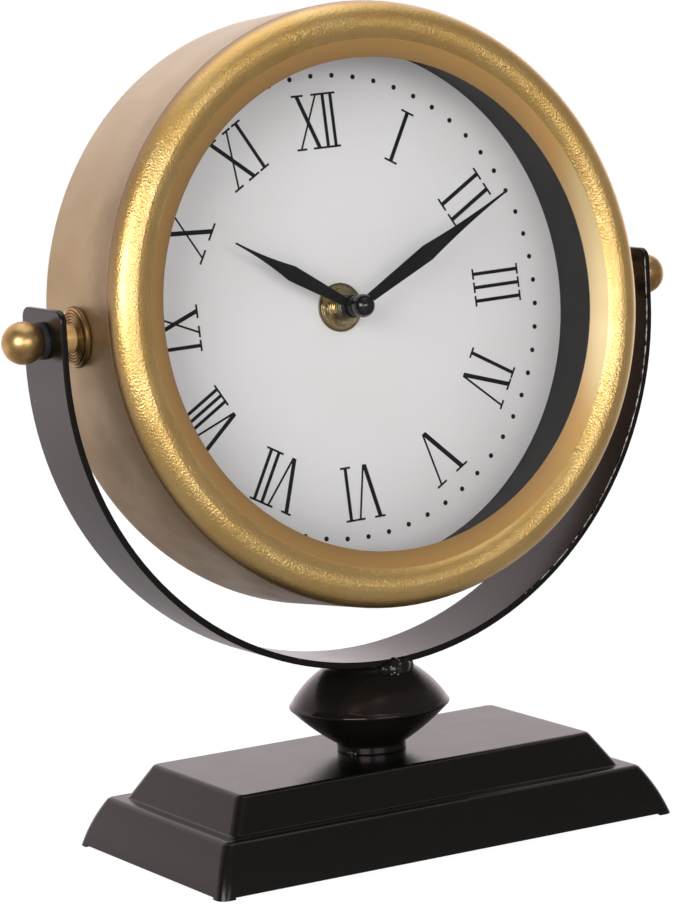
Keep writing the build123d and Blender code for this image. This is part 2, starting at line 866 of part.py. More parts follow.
def stator():
    """Core through the coil, with a leg at each end that stands on the plate."""
    reach = coil_length / 2 + core_overhang
    middle = back_case_y + coil_radius + seat_gap
    core = Pos(0, middle, coil_rise) * Rot(0, 90, 0) * Cylinder(core_radius, 2 * reach)
    for side in (-1, 1):
        near = side * (reach - core_radius * 2)
        low = (min(near, side * reach), back_case_y, coil_rise - core_radius)
        core += block(low, (max(near, side * reach), middle + core_radius, coil_rise + core_radius))
    return core


def circuit_board():
    left = -half_movement + movement_wall + slip_gap
    low = bay_z + bay_width / 2 + bay_wall + slip_gap
    corner = (left + circuit_width, back_case_y + circuit_thick, low + circuit_height)
    return block((left, back_case_y, low), corner)


nodes = {
    "base_shell": base_shell(),
    "base_cover": base_cover(),
    "foot_pads": Compound(children=foot_pads()),
    "stem_knob": stem_knob(),
    "stem_stud": stem_stud(),
    "stem_washer": stem_washer(),
    "stem_nut": stem_nut(),
    "yoke": yoke(),
}
for side, flip in (("right", False), ("left", True)):
    def sided(piece):
        """The piece as drawn, or mirrored to the left of the case."""
        return mirror(piece, about=Plane.YZ) if flip else piece

    nodes["collar_" + side] = sided(collar())
    nodes["finial_" + side] = leaned(sided(finial()))
    nodes["spacer_" + side] = leaned(sided(spacer()))
    nodes["rosette_" + side] = leaned(sided(rosette()))
    nodes["pivot_nut_" + side] = leaned(sided(pivot_nut()))

case_pieces = [
    drum_shell,
    bezel,
    glass_pane,
    reveal_ring,
    dial_print,
    dial_board,
    dial_ring,
    back_panel,
    movement_front,
    movement_plate,
    movement_back,
    dial_bushing,
    dial_gasket,
    dial_washer,
    dial_nut,
    minute_arbor,
    minute_hand,
    hand_cap,
    hour_wheel,
    hour_hand,
    set_wheel,
    set_knob,
    cell,
    contact_plus,
    contact_minus,
    coil,
    stator,
    circuit_board,
]
for make in case_pieces:
    nodes[make.__name__] = leaned(make())
nodes["back_screws"] = Compound(children=[leaned(screw) for screw in back_screws()])

os.makedirs("parts", exist_ok=True)
for name, shape in nodes.items():
    export_step(shape, "parts/" + name + ".step")
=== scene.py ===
"""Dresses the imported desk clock: finishes, printed dial, rosettes, knob, welds, stage and camera."""
import json
import math

import bpy
import numpy as np
from mathutils import Matrix, Vector


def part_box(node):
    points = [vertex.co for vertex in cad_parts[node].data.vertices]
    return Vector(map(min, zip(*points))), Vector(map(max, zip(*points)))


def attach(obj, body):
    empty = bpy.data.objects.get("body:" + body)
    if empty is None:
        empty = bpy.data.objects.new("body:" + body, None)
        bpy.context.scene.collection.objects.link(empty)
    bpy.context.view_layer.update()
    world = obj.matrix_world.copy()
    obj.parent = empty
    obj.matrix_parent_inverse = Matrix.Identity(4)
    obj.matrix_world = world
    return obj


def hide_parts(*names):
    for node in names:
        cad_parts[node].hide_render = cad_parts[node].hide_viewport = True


bl_info = {
    "name": "Desk clock",
    "version": (1, 0, 0),
    "blender": (4, 5, 0),
    "location": "View3D > Sidebar > Clock",
    "description": "Finishes, printed dial and studio stage for the tilting desk clock",
    "category": "Object",
}

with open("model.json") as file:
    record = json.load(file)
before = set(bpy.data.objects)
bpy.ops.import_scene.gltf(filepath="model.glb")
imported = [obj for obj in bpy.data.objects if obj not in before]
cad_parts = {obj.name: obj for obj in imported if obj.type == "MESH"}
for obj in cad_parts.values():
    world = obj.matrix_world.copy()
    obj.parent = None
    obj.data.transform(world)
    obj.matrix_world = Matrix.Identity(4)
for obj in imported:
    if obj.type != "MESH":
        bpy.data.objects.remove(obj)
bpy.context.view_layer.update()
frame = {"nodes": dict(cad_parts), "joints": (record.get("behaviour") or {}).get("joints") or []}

JOINTS = {joint["name"]: joint for joint in frame["joints"]}
PIVOT = np.array(JOINTS["case_tilt"]["pos_m"], float)
DIAL_AXIS = np.array(JOINTS["minute_turn"]["axis"], float)
LEAN = math.atan2(-DIAL_AXIS[2], DIAL_AXIS[1])
MM = 0.001


def node_points(node):
    """A node's mesh points as an array of rows x, y, z in metres."""
    mesh = frame["nodes"][node].data
    points = np.empty(len(mesh.vertices) * 3, np.float32)
    mesh.vertices.foreach_get("co", points)
    return points.reshape(-1, 3).astype(float)


def to_case(points):
    """Row points seen from the case: shifted to the tilt axis, then turned about X by the lean."""
    x, y, z = np.moveaxis(points - PIVOT, -1, 0)
    back = y * math.cos(LEAN) - z * math.sin(LEAN)
    up = y * math.sin(LEAN) + z * math.cos(LEAN)
    return np.stack([x, back, up], -1)


def to_row(points):
    """Case points put in the row frame: turned back about X by the lean, then shifted to the tilt axis."""
    x, y, z = np.moveaxis(points, -1, 0)
    back = y * math.cos(LEAN) + z * math.sin(LEAN)
    up = z * math.cos(LEAN) - y * math.sin(LEAN)
    return np.stack([x, back, up], -1) + PIVOT


def case_extent(node):
    """Lowest and highest corner of a node in the case frame."""
    points = to_case(node_points(node))
    return points.min(0), points.max(0)


DIAL_FRONT = case_extent("dial_print")[0][1]
DRUM_LOW, DRUM_HIGH = case_extent("drum_shell")
YOKE_LOW, YOKE_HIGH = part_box("yoke")
STRAP_RADIUS = YOKE_HIGH.x
STRAP_CENTRE = YOKE_LOW.z + STRAP_RADIUS
STRAP_HALF = YOKE_HIGH.y
KNOB_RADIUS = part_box("stem_knob")[1].x
BASE_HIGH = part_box("base_shell")[1]


def length(name, description, default):
    return bpy.props.FloatProperty(
        name=name, description=description, default=default, min=0.0, precision=5, subtype="DISTANCE", unit="LENGTH"
    )


def colour(name, description, default):
    return bpy.props.FloatVectorProperty(
        name=name, description=description, default=default, size=3, min=0.0, max=1.0, subtype="COLOR"
    )


def amount(name, description, default):
    return bpy.props.FloatProperty(name=name, description=description, default=default, min=0.0)


def angle(name, description, degrees):
    return bpy.props.FloatProperty(
        name=name, description=description, default=math.radians(degrees), subtype="ANGLE", unit="ROTATION"
    )


class ClockPrint(bpy.types.PropertyGroup):
    numeral_ring: length("Numeral ring", "Radius of the circle through the middles of the numerals", 0.0564)
    numeral_half: length("Half height", "From the middle of a numeral to the middle of its serif bars", 0.00805)
    letter_one: length("Width of I", "Serif to serif, before a numeral is condensed", 0.0046)
    letter_wide: length("Width of V and X", "Serif to serif, before a numeral is condensed", 0.0133)
    serif: length("Serif", "Thickness of the serif bars", 0.00064)
    stem: length("Stem", "Width of the upright strokes", 0.0013)
    thick: length("Thick stroke", "Width of the heavy slanting strokes", 0.00155)
    thin: length("Thin stroke", "Width of the light slanting strokes", 0.00066)
    foot: length("Foot of V", "How far the point of a V passes the serif line", 0.0006)
    ink: length("Ink", "Height of the printed ink on the card", 0.00004)
    sink: length("Sink", "How deep the ink reaches into the card", 0.00002)
    turn: angle("Turn", "How far the print sits turned on the movement, clockwise", -1.58)
    dot_ring: length("Dot ring", "Radius of the ring of minute dots", 0.070)
    dot_radius: length("Dot radius", "Radius of a minute dot", 0.00077)


class ClockFinish(bpy.types.PropertyGroup):
    paint: colour("Paint", "Satin black of the stand", (0.0026, 0.0040, 0.0026))
    # painted light: the knob's black is a little lighter than the stand's
    knob_lit_paint: colour("Knob paint", "Satin black of the knob", (0.0075, 0.0068, 0.0056))
    paint_dust: colour("Paint, worn", "Rubbed and dusty paint", (0.014, 0.015, 0.012))
    # bare metal of rubbed paint and weld spatter; along the yoke's right edge it also paints a highlight
    bare_metal_and_highlight: colour("Bare metal", "Metal that shows where paint is rubbed off", (0.72, 0.69, 0.66))
    drum_light: colour("Drum, light", "Satin gold of the drum", (0.47, 0.33, 0.17))
    # painted sheen: pale gold on the upper side of the drum
    drum_painted_sheen: colour("Drum, washed", "Pale gold on the upper side of the drum", (0.82, 0.67, 0.50))
    # painted shade: brown of the drum at the seam, the rear corner and underneath; its darker clouds use it too
    drum_shade_and_cloud: colour("Drum, dark", "Brown shade of the drum in its corners", (0.24, 0.145, 0.065))
    bezel_light: colour("Bezel, light", "Rubbed leaf on the crest of the bezel", (0.97, 0.66, 0.235))
    bezel_dark: colour("Bezel, dark", "Aged leaf on the crest of the bezel", (0.87, 0.55, 0.165))
    bezel_band: colour("Bezel, band", "Browner gold of the sloping band", (0.57, 0.32, 0.10))
    # painted highlight: paler gold of the band at the right
    bezel_painted_highlight: colour("Bezel, pale", "Paler gold of the band at the right", (0.57, 0.435, 0.20))
    # painted shade: brown where the bezel's shoulder meets the drum
    bezel_seam_shade: colour("Bezel, seam", "Brown gold where the bezel meets the drum", (0.34, 0.205, 0.085))
    turned_light: colour("Turned gold, light", "Rubbed gold of knobs and spacers", (0.65, 0.425, 0.175))
    turned_dark: colour("Turned gold, dark", "Aged gold of knobs and spacers", (0.38, 0.225, 0.08))
    card: colour("Dial card", "Off-white of the dial", (0.80, 0.772, 0.772))
    card_aged: colour("Dial card, aged", "Slightly toned patches of the dial", (0.775, 0.745, 0.742))
    ink: colour("Ink", "Black of numerals, dots and hands", (0.006, 0.0055, 0.0055))
    brass_light: colour("Brass, light", "Rubbed brass of washer and nut", (0.76, 0.63, 0.36))
    # brown of the tarnish blotches, also used to darken the rim of washer and nut
    brass_dark: colour("Brass, dark", "Tarnish on washer and nut", (0.26, 0.205, 0.11))


class ClockDetail(bpy.types.PropertyGroup):
    bead: length("Weld bead", "Half the height of the weld under the strap", 0.0032)
    foot_bead: length("Foot bead", "Half the height of the weld drop on the base", 0.0009)
    neck_height: length("Neck height", "Height of the neck under the knob's bowl", 0.0024)
    neck_slim: length("Neck slimming", "How much slimmer the neck is than its solid", 0.0005)
    bowl_bow: length("Bowl bow", "How far the knob's bowl bows out", 0.0005)
    dome_bow: length("Dome bow", "How far the knob's dome bows out", 0.0010)
    rim_bow: length("Rim bow", "How far the knob's rim bows out", 0.00055)
    rim_half: length("Rim half", "Half the height of the knob's rim", 0.0008)
    groove: length("Groove", "Pitch of the turned grooves on the rosettes", 0.00088)
    groove_depth: length("Groove depth", "Depth of the turned grooves on the rosettes", 0.00028)
    leaf_start: length("Leaf start", "Radius on the bezel where the smooth band gives way to the grained leaf", 0.0779)
    leaf_full: length("Leaf full", "Radius on the bezel from which the leaf is fully grained", 0.0788)
    # where the painted highlight on the bezel's band starts and where it is full
    highlight_start: length("Pale start", "How far to the right the bezel's band starts to turn paler", 0.064)
    highlight_full: length("Pale full", "How far to the right the bezel's band is palest", 0.0725)


class ClockStage(bpy.types.PropertyGroup):
    floor_radius: length("Floor", "Radius of the floor", 6.0)
    front_light: amount("Front panel", "Brightness of the panel before the dial", 4.0)
    left_light: amount("Left panel", "Brightness of the panel at the left of the camera", 6.3)
    top_light: amount("Top panel", "Brightness of the panel overhead", 0.9)
    ambient: amount("Ambient", "Even light from all round", 0.50)
    back: amount("Back", "Brightness of the white surround in reflections", 1.3)
    dim: amount("Front dimming", "Brightness of the room behind the camera in reflections", 0.27)
    lens: amount("Lens", "Focal length in millimetres on a 36 mm frame", 148.46)
    heading: angle("Heading", "Turn of the camera about the upright axis", -29.8043)
    pitch: angle("Pitch", "How far the camera looks down", 7.9672)
    roll: angle("Roll", "Turn of the camera about its own axis", -3.1191)
    place: bpy.props.FloatVectorProperty(
        name="Camera place", description="Where the camera stands", default=(-0.56092, -0.96934, 0.2737),
        size=3, subtype="TRANSLATION", unit="LENGTH",
    )


class Nodes:
    """The shader nodes of a material or world. The methods add nodes; apart from add and blend, which hand back the
    node itself, each hands back the socket that carries the result."""

    def __init__(self, owner):
        owner.use_nodes = True
        self.tree = owner.node_tree
        self.tree.nodes.clear()

    def add(self, kind, inputs=None, **settings):
        node = self.tree.nodes.new("ShaderNode" + kind)
        for name, value in settings.items():
            setattr(node, name, value)
        for name, value in (inputs or {}).items():
            self.feed(node.inputs[name], value)
        return node

    def feed(self, socket, value):
        if isinstance(value, bpy.types.NodeSocket):
            self.tree.links.new(value, socket)
        elif socket.type == "RGBA":
            socket.default_value = (*value[:3], 1.0)
        else:
            socket.default_value = value

    def calc(self, kind, first, second=0.0, third=0.0):
        """Arithmetic on single values."""
        return self.add("Math", {0: first, 1: second, 2: third}, operation=kind).outputs[0]

    def span(self, value, low, high, start=0.0, end=1.0):
        """Eases from start to end while the value goes from low to high."""
        inputs = {"Value": value, "From Min": low, "From Max": high, "To Min": start, "To Max": end}
        return self.add("MapRange", inputs, interpolation_type="SMOOTHSTEP").outputs["Result"]

    def times(self, first, second):
        return self.calc("MULTIPLY", first, second)

    def parts(self, vector):
        """The X, Y and Z of a vector."""
        return self.add("SeparateXYZ", {"Vector": vector}).outputs

    def blend(self, share, first, second):
        """Mix of two shaders by the share of the second."""
        return self.add("MixShader", {0: share, 1: first.outputs[0], 2: second.outputs[0]})


class Finish(Nodes):
    """One procedural material over object coordinates."""

    def __init__(self, name):
        self.material = bpy.data.materials.new(name)
        super().__init__(self.material)
        self.output = self.add("OutputMaterial")
        self.place = self.add("TexCoord").outputs["Object"]

    def noise(self, scale, detail=2.0, vector=None, roughness=0.55):
        inputs = {"Vector": vector or self.place, "Scale": scale, "Detail": detail, "Roughness": roughness}
        return self.add("TexNoise", inputs).outputs["Fac"]

    def cells(self, scale, vector=None, randomness=1.0):
        """Distance to the nearest of a field of scattered points, in cell sizes."""
        inputs = {"Vector": vector or self.place, "Scale": scale, "Randomness": randomness}
        return self.add("TexVoronoi", inputs).outputs["Distance"]

    def specks(self, scale, near, far, field, low, high):
        """Dots round scattered points, kept only where a slower noise is high."""
        dots = self.span(self.cells(scale), near, far, 1.0, 0.0)
        return self.times(dots, self.span(self.noise(field), low, high))

    def mix(self, factor, first, second):
        return self.add("MixRGB", {"Fac": factor, "Color1": first, "Color2": second}).outputs["Color"]

    def join(self, x, y, z):
        return self.add("CombineXYZ", {"X": x, "Y": y, "Z": z}).outputs[0]

    def stretched(self, factors):
        """Object coordinates scaled by a factor along each axis."""
        return self.add("Mapping", {"Vector": self.place, "Scale": factors}).outputs[0]

    def in_case(self):
        """Object coordinates turned into the case frame, from the tilt axis."""
        shift = Matrix.Rotation(LEAN, 3, "X") @ -Vector(PIVOT)
        return self.add("Mapping", {"Vector": self.place, "Location": shift, "Rotation": (LEAN, 0, 0)}).outputs[0]

    def radius(self, first, second):
        """Distance from an axis, given the two coordinates across it."""
        return self.calc("SQRT", self.calc("MULTIPLY_ADD", first, first, self.times(second, second)))

    def lasting(self, colour, roughness, metallic=0.0, height=None, depth=0.0001, **fixed):
        """Closes the tree with one surface shader; each 1 of height is raised by depth in metres."""
        inputs = {"Base Color": colour, "Roughness": roughness, "Metallic": metallic}
        inputs.update({name.replace("_", " ").title().replace("Ior", "IOR"): value for name, value in fixed.items()})
        shader = self.add("BsdfPrincipled", inputs)
        if height is not None:
            bump = self.add("Bump", {"Height": height, "Distance": depth, "Strength": 1.0})
            self.feed(shader.inputs["Normal"], bump.outputs["Normal"])
        return self.closed(shader)

    def closed(self, shader):
        """The finished material, with this shader as its surface."""
        self.feed(self.output.inputs["Surface"], shader.outputs[0])
        return self.material


def settings():
    """The colours of the finishes."""
    return bpy.context.scene.desk_clock_finish


# small marks in the finishes, and the cast of what the black paint reflects
SPECK_BROWN = (0.05, 0.03, 0.02)
LEAF_GLINT = (0.97, 0.72, 0.32)
LEAF_PIT = (0.14, 0.08, 0.03)
GROOVE_BROWN = (0.07, 0.035, 0.015)
TURNED_PIT = (0.12, 0.065, 0.025)
CARD_FIBRE = (0.45, 0.43, 0.41)
PAINT_CAST = (1.0, 0.78, 0.85)
PAINT_IOR = 1.46


def satin_paint(name, rubbed=None, polished=None, paint=None):
    """Sprayed satin black: soft orange peel, faint dust, bare metal where one mask says rubbed (on the yoke partly a
    painted highlight), gloss where another says polished."""
    f = Finish(name)
    tone = settings()
    peel = f.noise(520.0, 2.0)
    cloud = f.noise(38.0, 4.0)
    dust = f.times(f.span(f.noise(1500.0, 1.0), 0.62, 0.75), f.span(cloud, 0.45, 0.65, 0.0, 0.5))
    paint = paint or tone.paint
    body = f.mix(f.span(cloud, 0.3, 0.75), paint, [0.8 * part for part in paint])
    body = f.mix(dust, body, tone.paint_dust)
    rough = f.span(f.noise(90.0, 3.0), 0.3, 0.7, 0.21, 0.235)
    metal = 0.0
    if polished is not None:
        rough = f.span(polished(f), 0.0, 1.0, rough, 0.07)
    if rubbed is not None:
        worn = rubbed(f)
        body = f.mix(worn, body, tone.bare_metal_and_highlight)
        metal = f.times(worn, 0.25)
    return f.lasting(body, rough, metal, peel, 0.000010, ior=PAINT_IOR, specular_tint=PAINT_CAST)


def weld_paint():
    """Black paint run thick and glossy over weld, with bare bright spatter."""
    f = Finish("weld_gloss_black")
    tone = settings()
    lumps = f.noise(900.0, 3.0)
    spatter = f.specks(800.0, 0.16, 0.24, 260.0, 0.52, 0.58)
    body = f.mix(spatter, tone.paint, tone.bare_metal_and_highlight)
    rough = f.span(lumps, 0.3, 0.7, 0.06, 0.16)
    return f.lasting(body, rough, f.times(spatter, 0.9), f.calc("ADD", lumps, spatter), 0.00012)


def knob_polished(f):
    """Mask of the knob's rim, which is glossier than the rest."""
    x, y, z = f.parts(f.place)
    return f.span(f.radius(x, y), KNOB_RADIUS - 1.6 * MM, KNOB_RADIUS - 0.8 * MM)


def strap_wear_and_highlight(f):
    """Mask of the yoke's bare metal: a broken line on the inner front corner at the right, partly wear and partly a
    painted highlight along the rounded edge, and a few chips of wear elsewhere.
    """
    x, y, z = f.parts(f.place)
    out = f.radius(x, f.calc("MINIMUM", f.calc("SUBTRACT", z, STRAP_CENTRE), 0.0))
    half_sheet = MM
    middle = STRAP_RADIUS - half_sheet
    across = f.calc("ABSOLUTE", f.calc("SUBTRACT", out, middle))
    beside = f.calc("SUBTRACT", f.calc("ABSOLUTE", y), STRAP_HALF - half_sheet)
    corner = f.span(f.calc("ADD", across, beside), 1.63 * MM, 1.73 * MM)
    inner = f.span(out, middle - 0.3 * MM, middle + 0.3 * MM, 1.0, 0.0)
    held = f.times(f.times(f.span(x, 30 * MM, 60 * MM), f.span(y, -MM, MM, 1.0, 0.0)), inner)
    # the broken line is partly wear and partly a painted highlight along the rounded edge
    broken = f.span(f.calc("MULTIPLY_ADD", held, 0.22, f.noise(330.0, 5.0)), 0.66, 0.80)
    chips = f.specks(300.0, 0.06, 0.12, 52.0, 0.68, 0.71)
    return f.calc("MAXIMUM", f.times(corner, broken), f.times(chips, 0.3))


def drum_gold():
    """Satin gold over sheet metal: clouded, with a few specks; a painted sheen makes it paler above, and painted shade
    makes it browner below, at the seam and at the rear corner."""
    f = Finish("drum_satin_gold")
    tone = settings()
    x, y, z = f.parts(f.in_case())
    cloud = f.noise(22.0, 5.0)
    fine = f.noise(420.0, 3.0)
    # painted shade: darker towards the bezel seam, at the rear corner and underneath
    seam = f.span(y, DRUM_LOW[1], DRUM_LOW[1] + 20 * MM, 0.6, 0.0)
    corner = f.span(y, DRUM_HIGH[1] - 7 * MM, DRUM_HIGH[1], 0.0, 0.3)
    below = f.span(z, -75 * MM, 0.0, 0.4, 0.0)
    shade = f.calc("MAXIMUM", f.calc("MAXIMUM", seam, corner), below)
    shade = f.calc("ADD", shade, f.span(cloud, 0.35, 0.7, -0.08, 0.16))
    shade = f.calc("ADD", shade, f.span(fine, 0.3, 0.7, -0.03, 0.06))
    speck = f.specks(190.0, 0.05, 0.11, 33.0, 0.56, 0.60)
    body = f.mix(f.span(shade, 0.0, 1.0), tone.drum_light, tone.drum_shade_and_cloud)
    # painted sheen: paler towards the top of the drum
    body = f.mix(f.span(z, 20 * MM, 85 * MM, 0.0, 0.58), body, tone.drum_painted_sheen)
    body = f.mix(f.times(speck, 0.75), body, SPECK_BROWN)
    rough = f.span(f.noise(60.0, 4.0), 0.3, 0.7, 0.40, 0.54)
    height = f.calc("SUBTRACT", f.calc("MULTIPLY_ADD", fine, 0.25, cloud), speck)
    return f.lasting(body, rough, 0.75, height, 0.00009, coat_weight=0.3, coat_roughness=0.3)


def bezel_gold():
    """Gold leaf: grained and rubbed bright on the crest, smooth and browner on the band, with painted shade at the
    drum's seam and a painted highlight on the band at the right.
    """
    f = Finish("bezel_gold_leaf")
    tone = settings()
    sizes = bpy.context.scene.desk_clock_detail
    x, y, z = f.parts(f.in_case())
    leaf = f.span(f.radius(x, z), sizes.leaf_start, sizes.leaf_full)
    # painted shade: browner on the bezel's shoulder next to the drum
    seam = f.span(y, DRUM_LOW[1] - 4.5 * MM, DRUM_LOW[1] - 0.5 * MM)
    patch = f.noise(48.0, 4.0)
    grain = f.noise(1550.0, 3.0)
    body = f.mix(f.span(patch, 0.36, 0.66), tone.bezel_light, tone.bezel_dark)
    body = f.mix(f.times(f.span(grain, 0.5, 0.75), 0.35), body, LEAF_GLINT)
    # painted highlight: the band is paler at the right, where the lamps make it brightest
    band = f.mix(f.span(x, sizes.highlight_start, sizes.highlight_full), tone.bezel_band, tone.bezel_painted_highlight)
    body = f.mix(leaf, band, body)
    body = f.mix(seam, body, tone.bezel_seam_shade)
    pit = f.specks(330.0, 0.05, 0.11, 40.0, 0.6, 0.66)
    body = f.mix(f.times(pit, 0.4), body, LEAF_PIT)
    rough = f.calc("ADD", f.span(patch, 0.3, 0.7, 0.29, 0.36), f.span(leaf, 0.0, 1.0, 0.07, 0.0))
    grained = f.times(grain, f.span(leaf, 0.0, 1.0, 0.2, 2.5))
    # wrinkles where the leaf was laid twice, on the crest only
    wrinkled = f.times(leaf, f.span(f.noise(33.0, 2.0), 0.50, 0.66, 0.0, 1.0))
    wrinkles = f.times(f.noise(430.0, 3.0), wrinkled)
    height = f.calc("SUBTRACT", f.calc("MULTIPLY_ADD", patch, 0.5, grained), f.times(pit, 0.5))
    height = f.calc("MULTIPLY_ADD", wrinkles, 2.2, height)
    metal = f.span(leaf, 0.0, 1.0, 0.62, 0.95)
    return f.lasting(body, rough, metal, height, 0.00008, coat_weight=0.8, coat_roughness=0.26)


def turned_gold(name, brown=1.0, lift=1.0, metal=0.95, pitch=None, start=0.0):
    """Lathe-turned gold: fine rings about the tilt axis, rubbed light with brown left in the hollows and, where a
    pitch is given, in grooves counted inwards from the start radius."""
    f = Finish(name)
    tone = settings()
    x, y, z = f.parts(f.place)
    out = f.radius(y, f.calc("SUBTRACT", z, float(PIVOT[2])))
    rings = f.noise(2600.0, 2.0, f.join(x, out, 0.0))
    patch = f.noise(160.0, 4.0)
    light, dark = ([lift * part for part in gold] for gold in (tone.turned_light, tone.turned_dark))
    body = f.mix(f.span(patch, 0.36, 0.36 + 0.36 / brown), light, dark)
    if pitch is not None:
        turn = f.calc("COSINE", f.times(f.calc("SUBTRACT", out, start), 2 * math.pi / pitch))
        body = f.mix(f.span(turn, -0.7, 0.2, 0.8, 0.0), body, GROOVE_BROWN)
    pit = f.span(f.cells(420.0), 0.05, 0.12, 0.5, 0.0)
    body = f.mix(pit, body, TURNED_PIT)
    rough = f.span(patch, 0.3, 0.7, 0.30, 0.44)
    return f.lasting(body, rough, metal, f.calc("MULTIPLY_ADD", patch, 0.8, rings), 0.00003)


def dial_card():
    """Uncoated dial card: paper tooth and very faint toning."""
    f = Finish("dial_printed_card")
    tone = settings()
    tooth = f.noise(2600.0, 3.0)
    toning = f.noise(26.0, 4.0)
    body = f.mix(f.span(toning, 0.35, 0.75), tone.card, tone.card_aged)
    body = f.mix(f.span(tooth, 0.3, 0.8, 0.0, 0.05), body, CARD_FIBRE)
    return f.lasting(body, f.span(tooth, 0.3, 0.7, 0.72, 0.86), 0.0, tooth, 0.00001)


def matt_black(name, low=0.5, high=0.66, grain=1400.0, depth=0.000012, level=0.2):
    """Matt black with a fine grain, for ink, hands and the inner sleeve."""
    f = Finish(name)
    tone = settings()
    fine = f.noise(grain, 2.0)
    cloud = f.noise(60.0, 3.0)
    body = f.mix(f.span(cloud, 0.3, 0.7), tone.ink, [1.9 * part for part in tone.ink])
    return f.lasting(body, f.span(fine, 0.3, 0.7, low, high), 0.0, fine, depth, specular_ior_level=level)


def aged_brass(name):
    """Brass turned in fine rings about the dial axis, with brown tarnish in blotches and darker towards its rim."""
    f = Finish(name)
    tone = settings()
    x, y, z = f.parts(f.in_case())
    out = f.radius(x, z)
    rings = f.calc("SINE", f.times(out, 2 * math.pi / (0.7 * MM)))
    blotch = f.noise(230.0, 4.0)
    # darker towards the rim
    tarnish = f.calc("MAXIMUM", f.span(blotch, 0.42, 0.7), f.span(out, 6.2 * MM, 7.1 * MM))
    body = f.mix(tarnish, tone.brass_light, tone.brass_dark)
    rough = f.span(blotch, 0.3, 0.7, 0.2, 0.32)
    return f.lasting(body, rough, 0.95, f.calc("MULTIPLY_ADD", rings, 0.35, blotch), 0.00006)


def plated_steel(name, light, dark, metallic=0.9):
    """Plated steel: cloudy bright coat with fine drawn lines."""
    f = Finish(name)
    cloud = f.noise(260.0, 4.0)
    lines = f.noise(900.0, 2.0, f.stretched((1.0, 1.0, 0.08)))
    body = f.mix(f.span(cloud, 0.3, 0.7), light, dark)
    return f.lasting(body, f.span(cloud, 0.3, 0.7, 0.26, 0.42), metallic, lines, 0.000012)


def moulded_plastic(name, base, deep, low, high, grain=2100.0):
    """Moulded plastic: even spark-eroded grain and a slight cloud in its shade."""
    f = Finish(name)
    fine = f.noise(grain, 2.0)
    cloud = f.noise(70.0, 3.0)
    body = f.mix(f.span(cloud, 0.3, 0.7), base, deep)
    return f.lasting(body, f.span(fine, 0.3, 0.7, low, high), 0.0, fine, 0.00002)


def fibre_board(name, base, fibre):
    """Pressed board: short fibres both ways over a clouded ground."""
    f = Finish(name)
    along = f.noise(700.0, 3.0, f.stretched((0.25, 1.0, 1.0)))
    across = f.noise(700.0, 3.0, f.stretched((1.0, 0.25, 1.0)))
    weave = f.calc("MAXIMUM", along, across)
    body = f.mix(f.span(weave, 0.5, 0.8), base, fibre)
    return f.lasting(body, f.span(weave, 0.4, 0.8, 0.78, 0.92), 0.0, weave, 0.00004)


def felt():
    """Needled felt: tangled fibres at hair scale."""
    f = Finish("pad_black_felt")
    tangle = f.noise(2800.0, 4.0)
    tufts = f.noise(420.0, 3.0)
    body = f.mix(f.span(tufts, 0.3, 0.7), (0.022, 0.022, 0.023), (0.05, 0.05, 0.052))
    return f.lasting(body, f.span(tangle, 0.3, 0.7, 0.85, 0.98), 0.0, tangle, 0.0003, sheen_weight=0.3)


def copper_winding():
    """Enamelled wire wound round X: one ridge for each turn."""
    f = Finish("coil_enamelled_copper")
    x, y, z = f.parts(f.place)
    turns = f.calc("SINE", f.times(x, 2 * math.pi / (0.4 * MM)))
    shade = f.noise(300.0, 3.0)
    body = f.mix(f.span(shade, 0.3, 0.7), (0.62, 0.25, 0.09), (0.46, 0.16, 0.05))
    # painted shade in the grooves between the turns
    body = f.mix(f.span(turns, -1.0, -0.2, 0.6, 0.0), body, (0.10, 0.03, 0.01))
    return f.lasting(body, f.span(shade, 0.3, 0.7, 0.22, 0.34), 0.85, turns, 0.00008)


def circuit_green():
    """Solder mask over copper tracks that run as a fine labyrinth."""
    f = Finish("circuit_solder_mask")
    lanes = f.cells(650.0, f.stretched((1.0, 0.2, 1.0)), 0.6)
    tracks = f.span(lanes, 0.42, 0.5)
    cloud = f.noise(300.0, 3.0)
    body = f.mix(tracks, (0.018, 0.11, 0.045), (0.05, 0.22, 0.09))
    body = f.mix(f.span(cloud, 0.55, 0.8, 0.0, 0.3), body, (0.02, 0.07, 0.03))
    return f.lasting(body, f.span(cloud, 0.3, 0.7, 0.25, 0.4), 0.0, tracks, 0.00004)


def cell_jacket():
    """Blank two-colour jacket of the dry cell, bare steel at both ends."""
    f = Finish("cell_blank_jacket")
    low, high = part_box("cell")
    x, y, z = f.parts(f.place)
    share = f.span(x, low.x, high.x)
    scuff = f.span(f.noise(700.0, 4.0), 0.58, 0.72, 0.0, 0.4)
    band = f.span(x, low.x + 34.5 * MM, low.x + 34.7 * MM)
    body = f.mix(band, (0.02, 0.021, 0.024), (0.52, 0.33, 0.13))
    base_end = f.span(x, low.x + 0.6 * MM, low.x + 0.9 * MM, 1.0, 0.0)
    cap_end = f.span(x, high.x - 2.6 * MM, high.x - 2.2 * MM)
    ends = f.calc("MAXIMUM", base_end, cap_end)
    body = f.mix(f.calc("MAXIMUM", ends, scuff), body, (0.6, 0.6, 0.58))
    rough = f.span(f.noise(160.0, 3.0), 0.3, 0.7, 0.24, 0.36)
    return f.lasting(body, rough, f.calc("MULTIPLY_ADD", ends, 0.4, 0.5), f.calc("ADD", scuff, share), 0.00002)


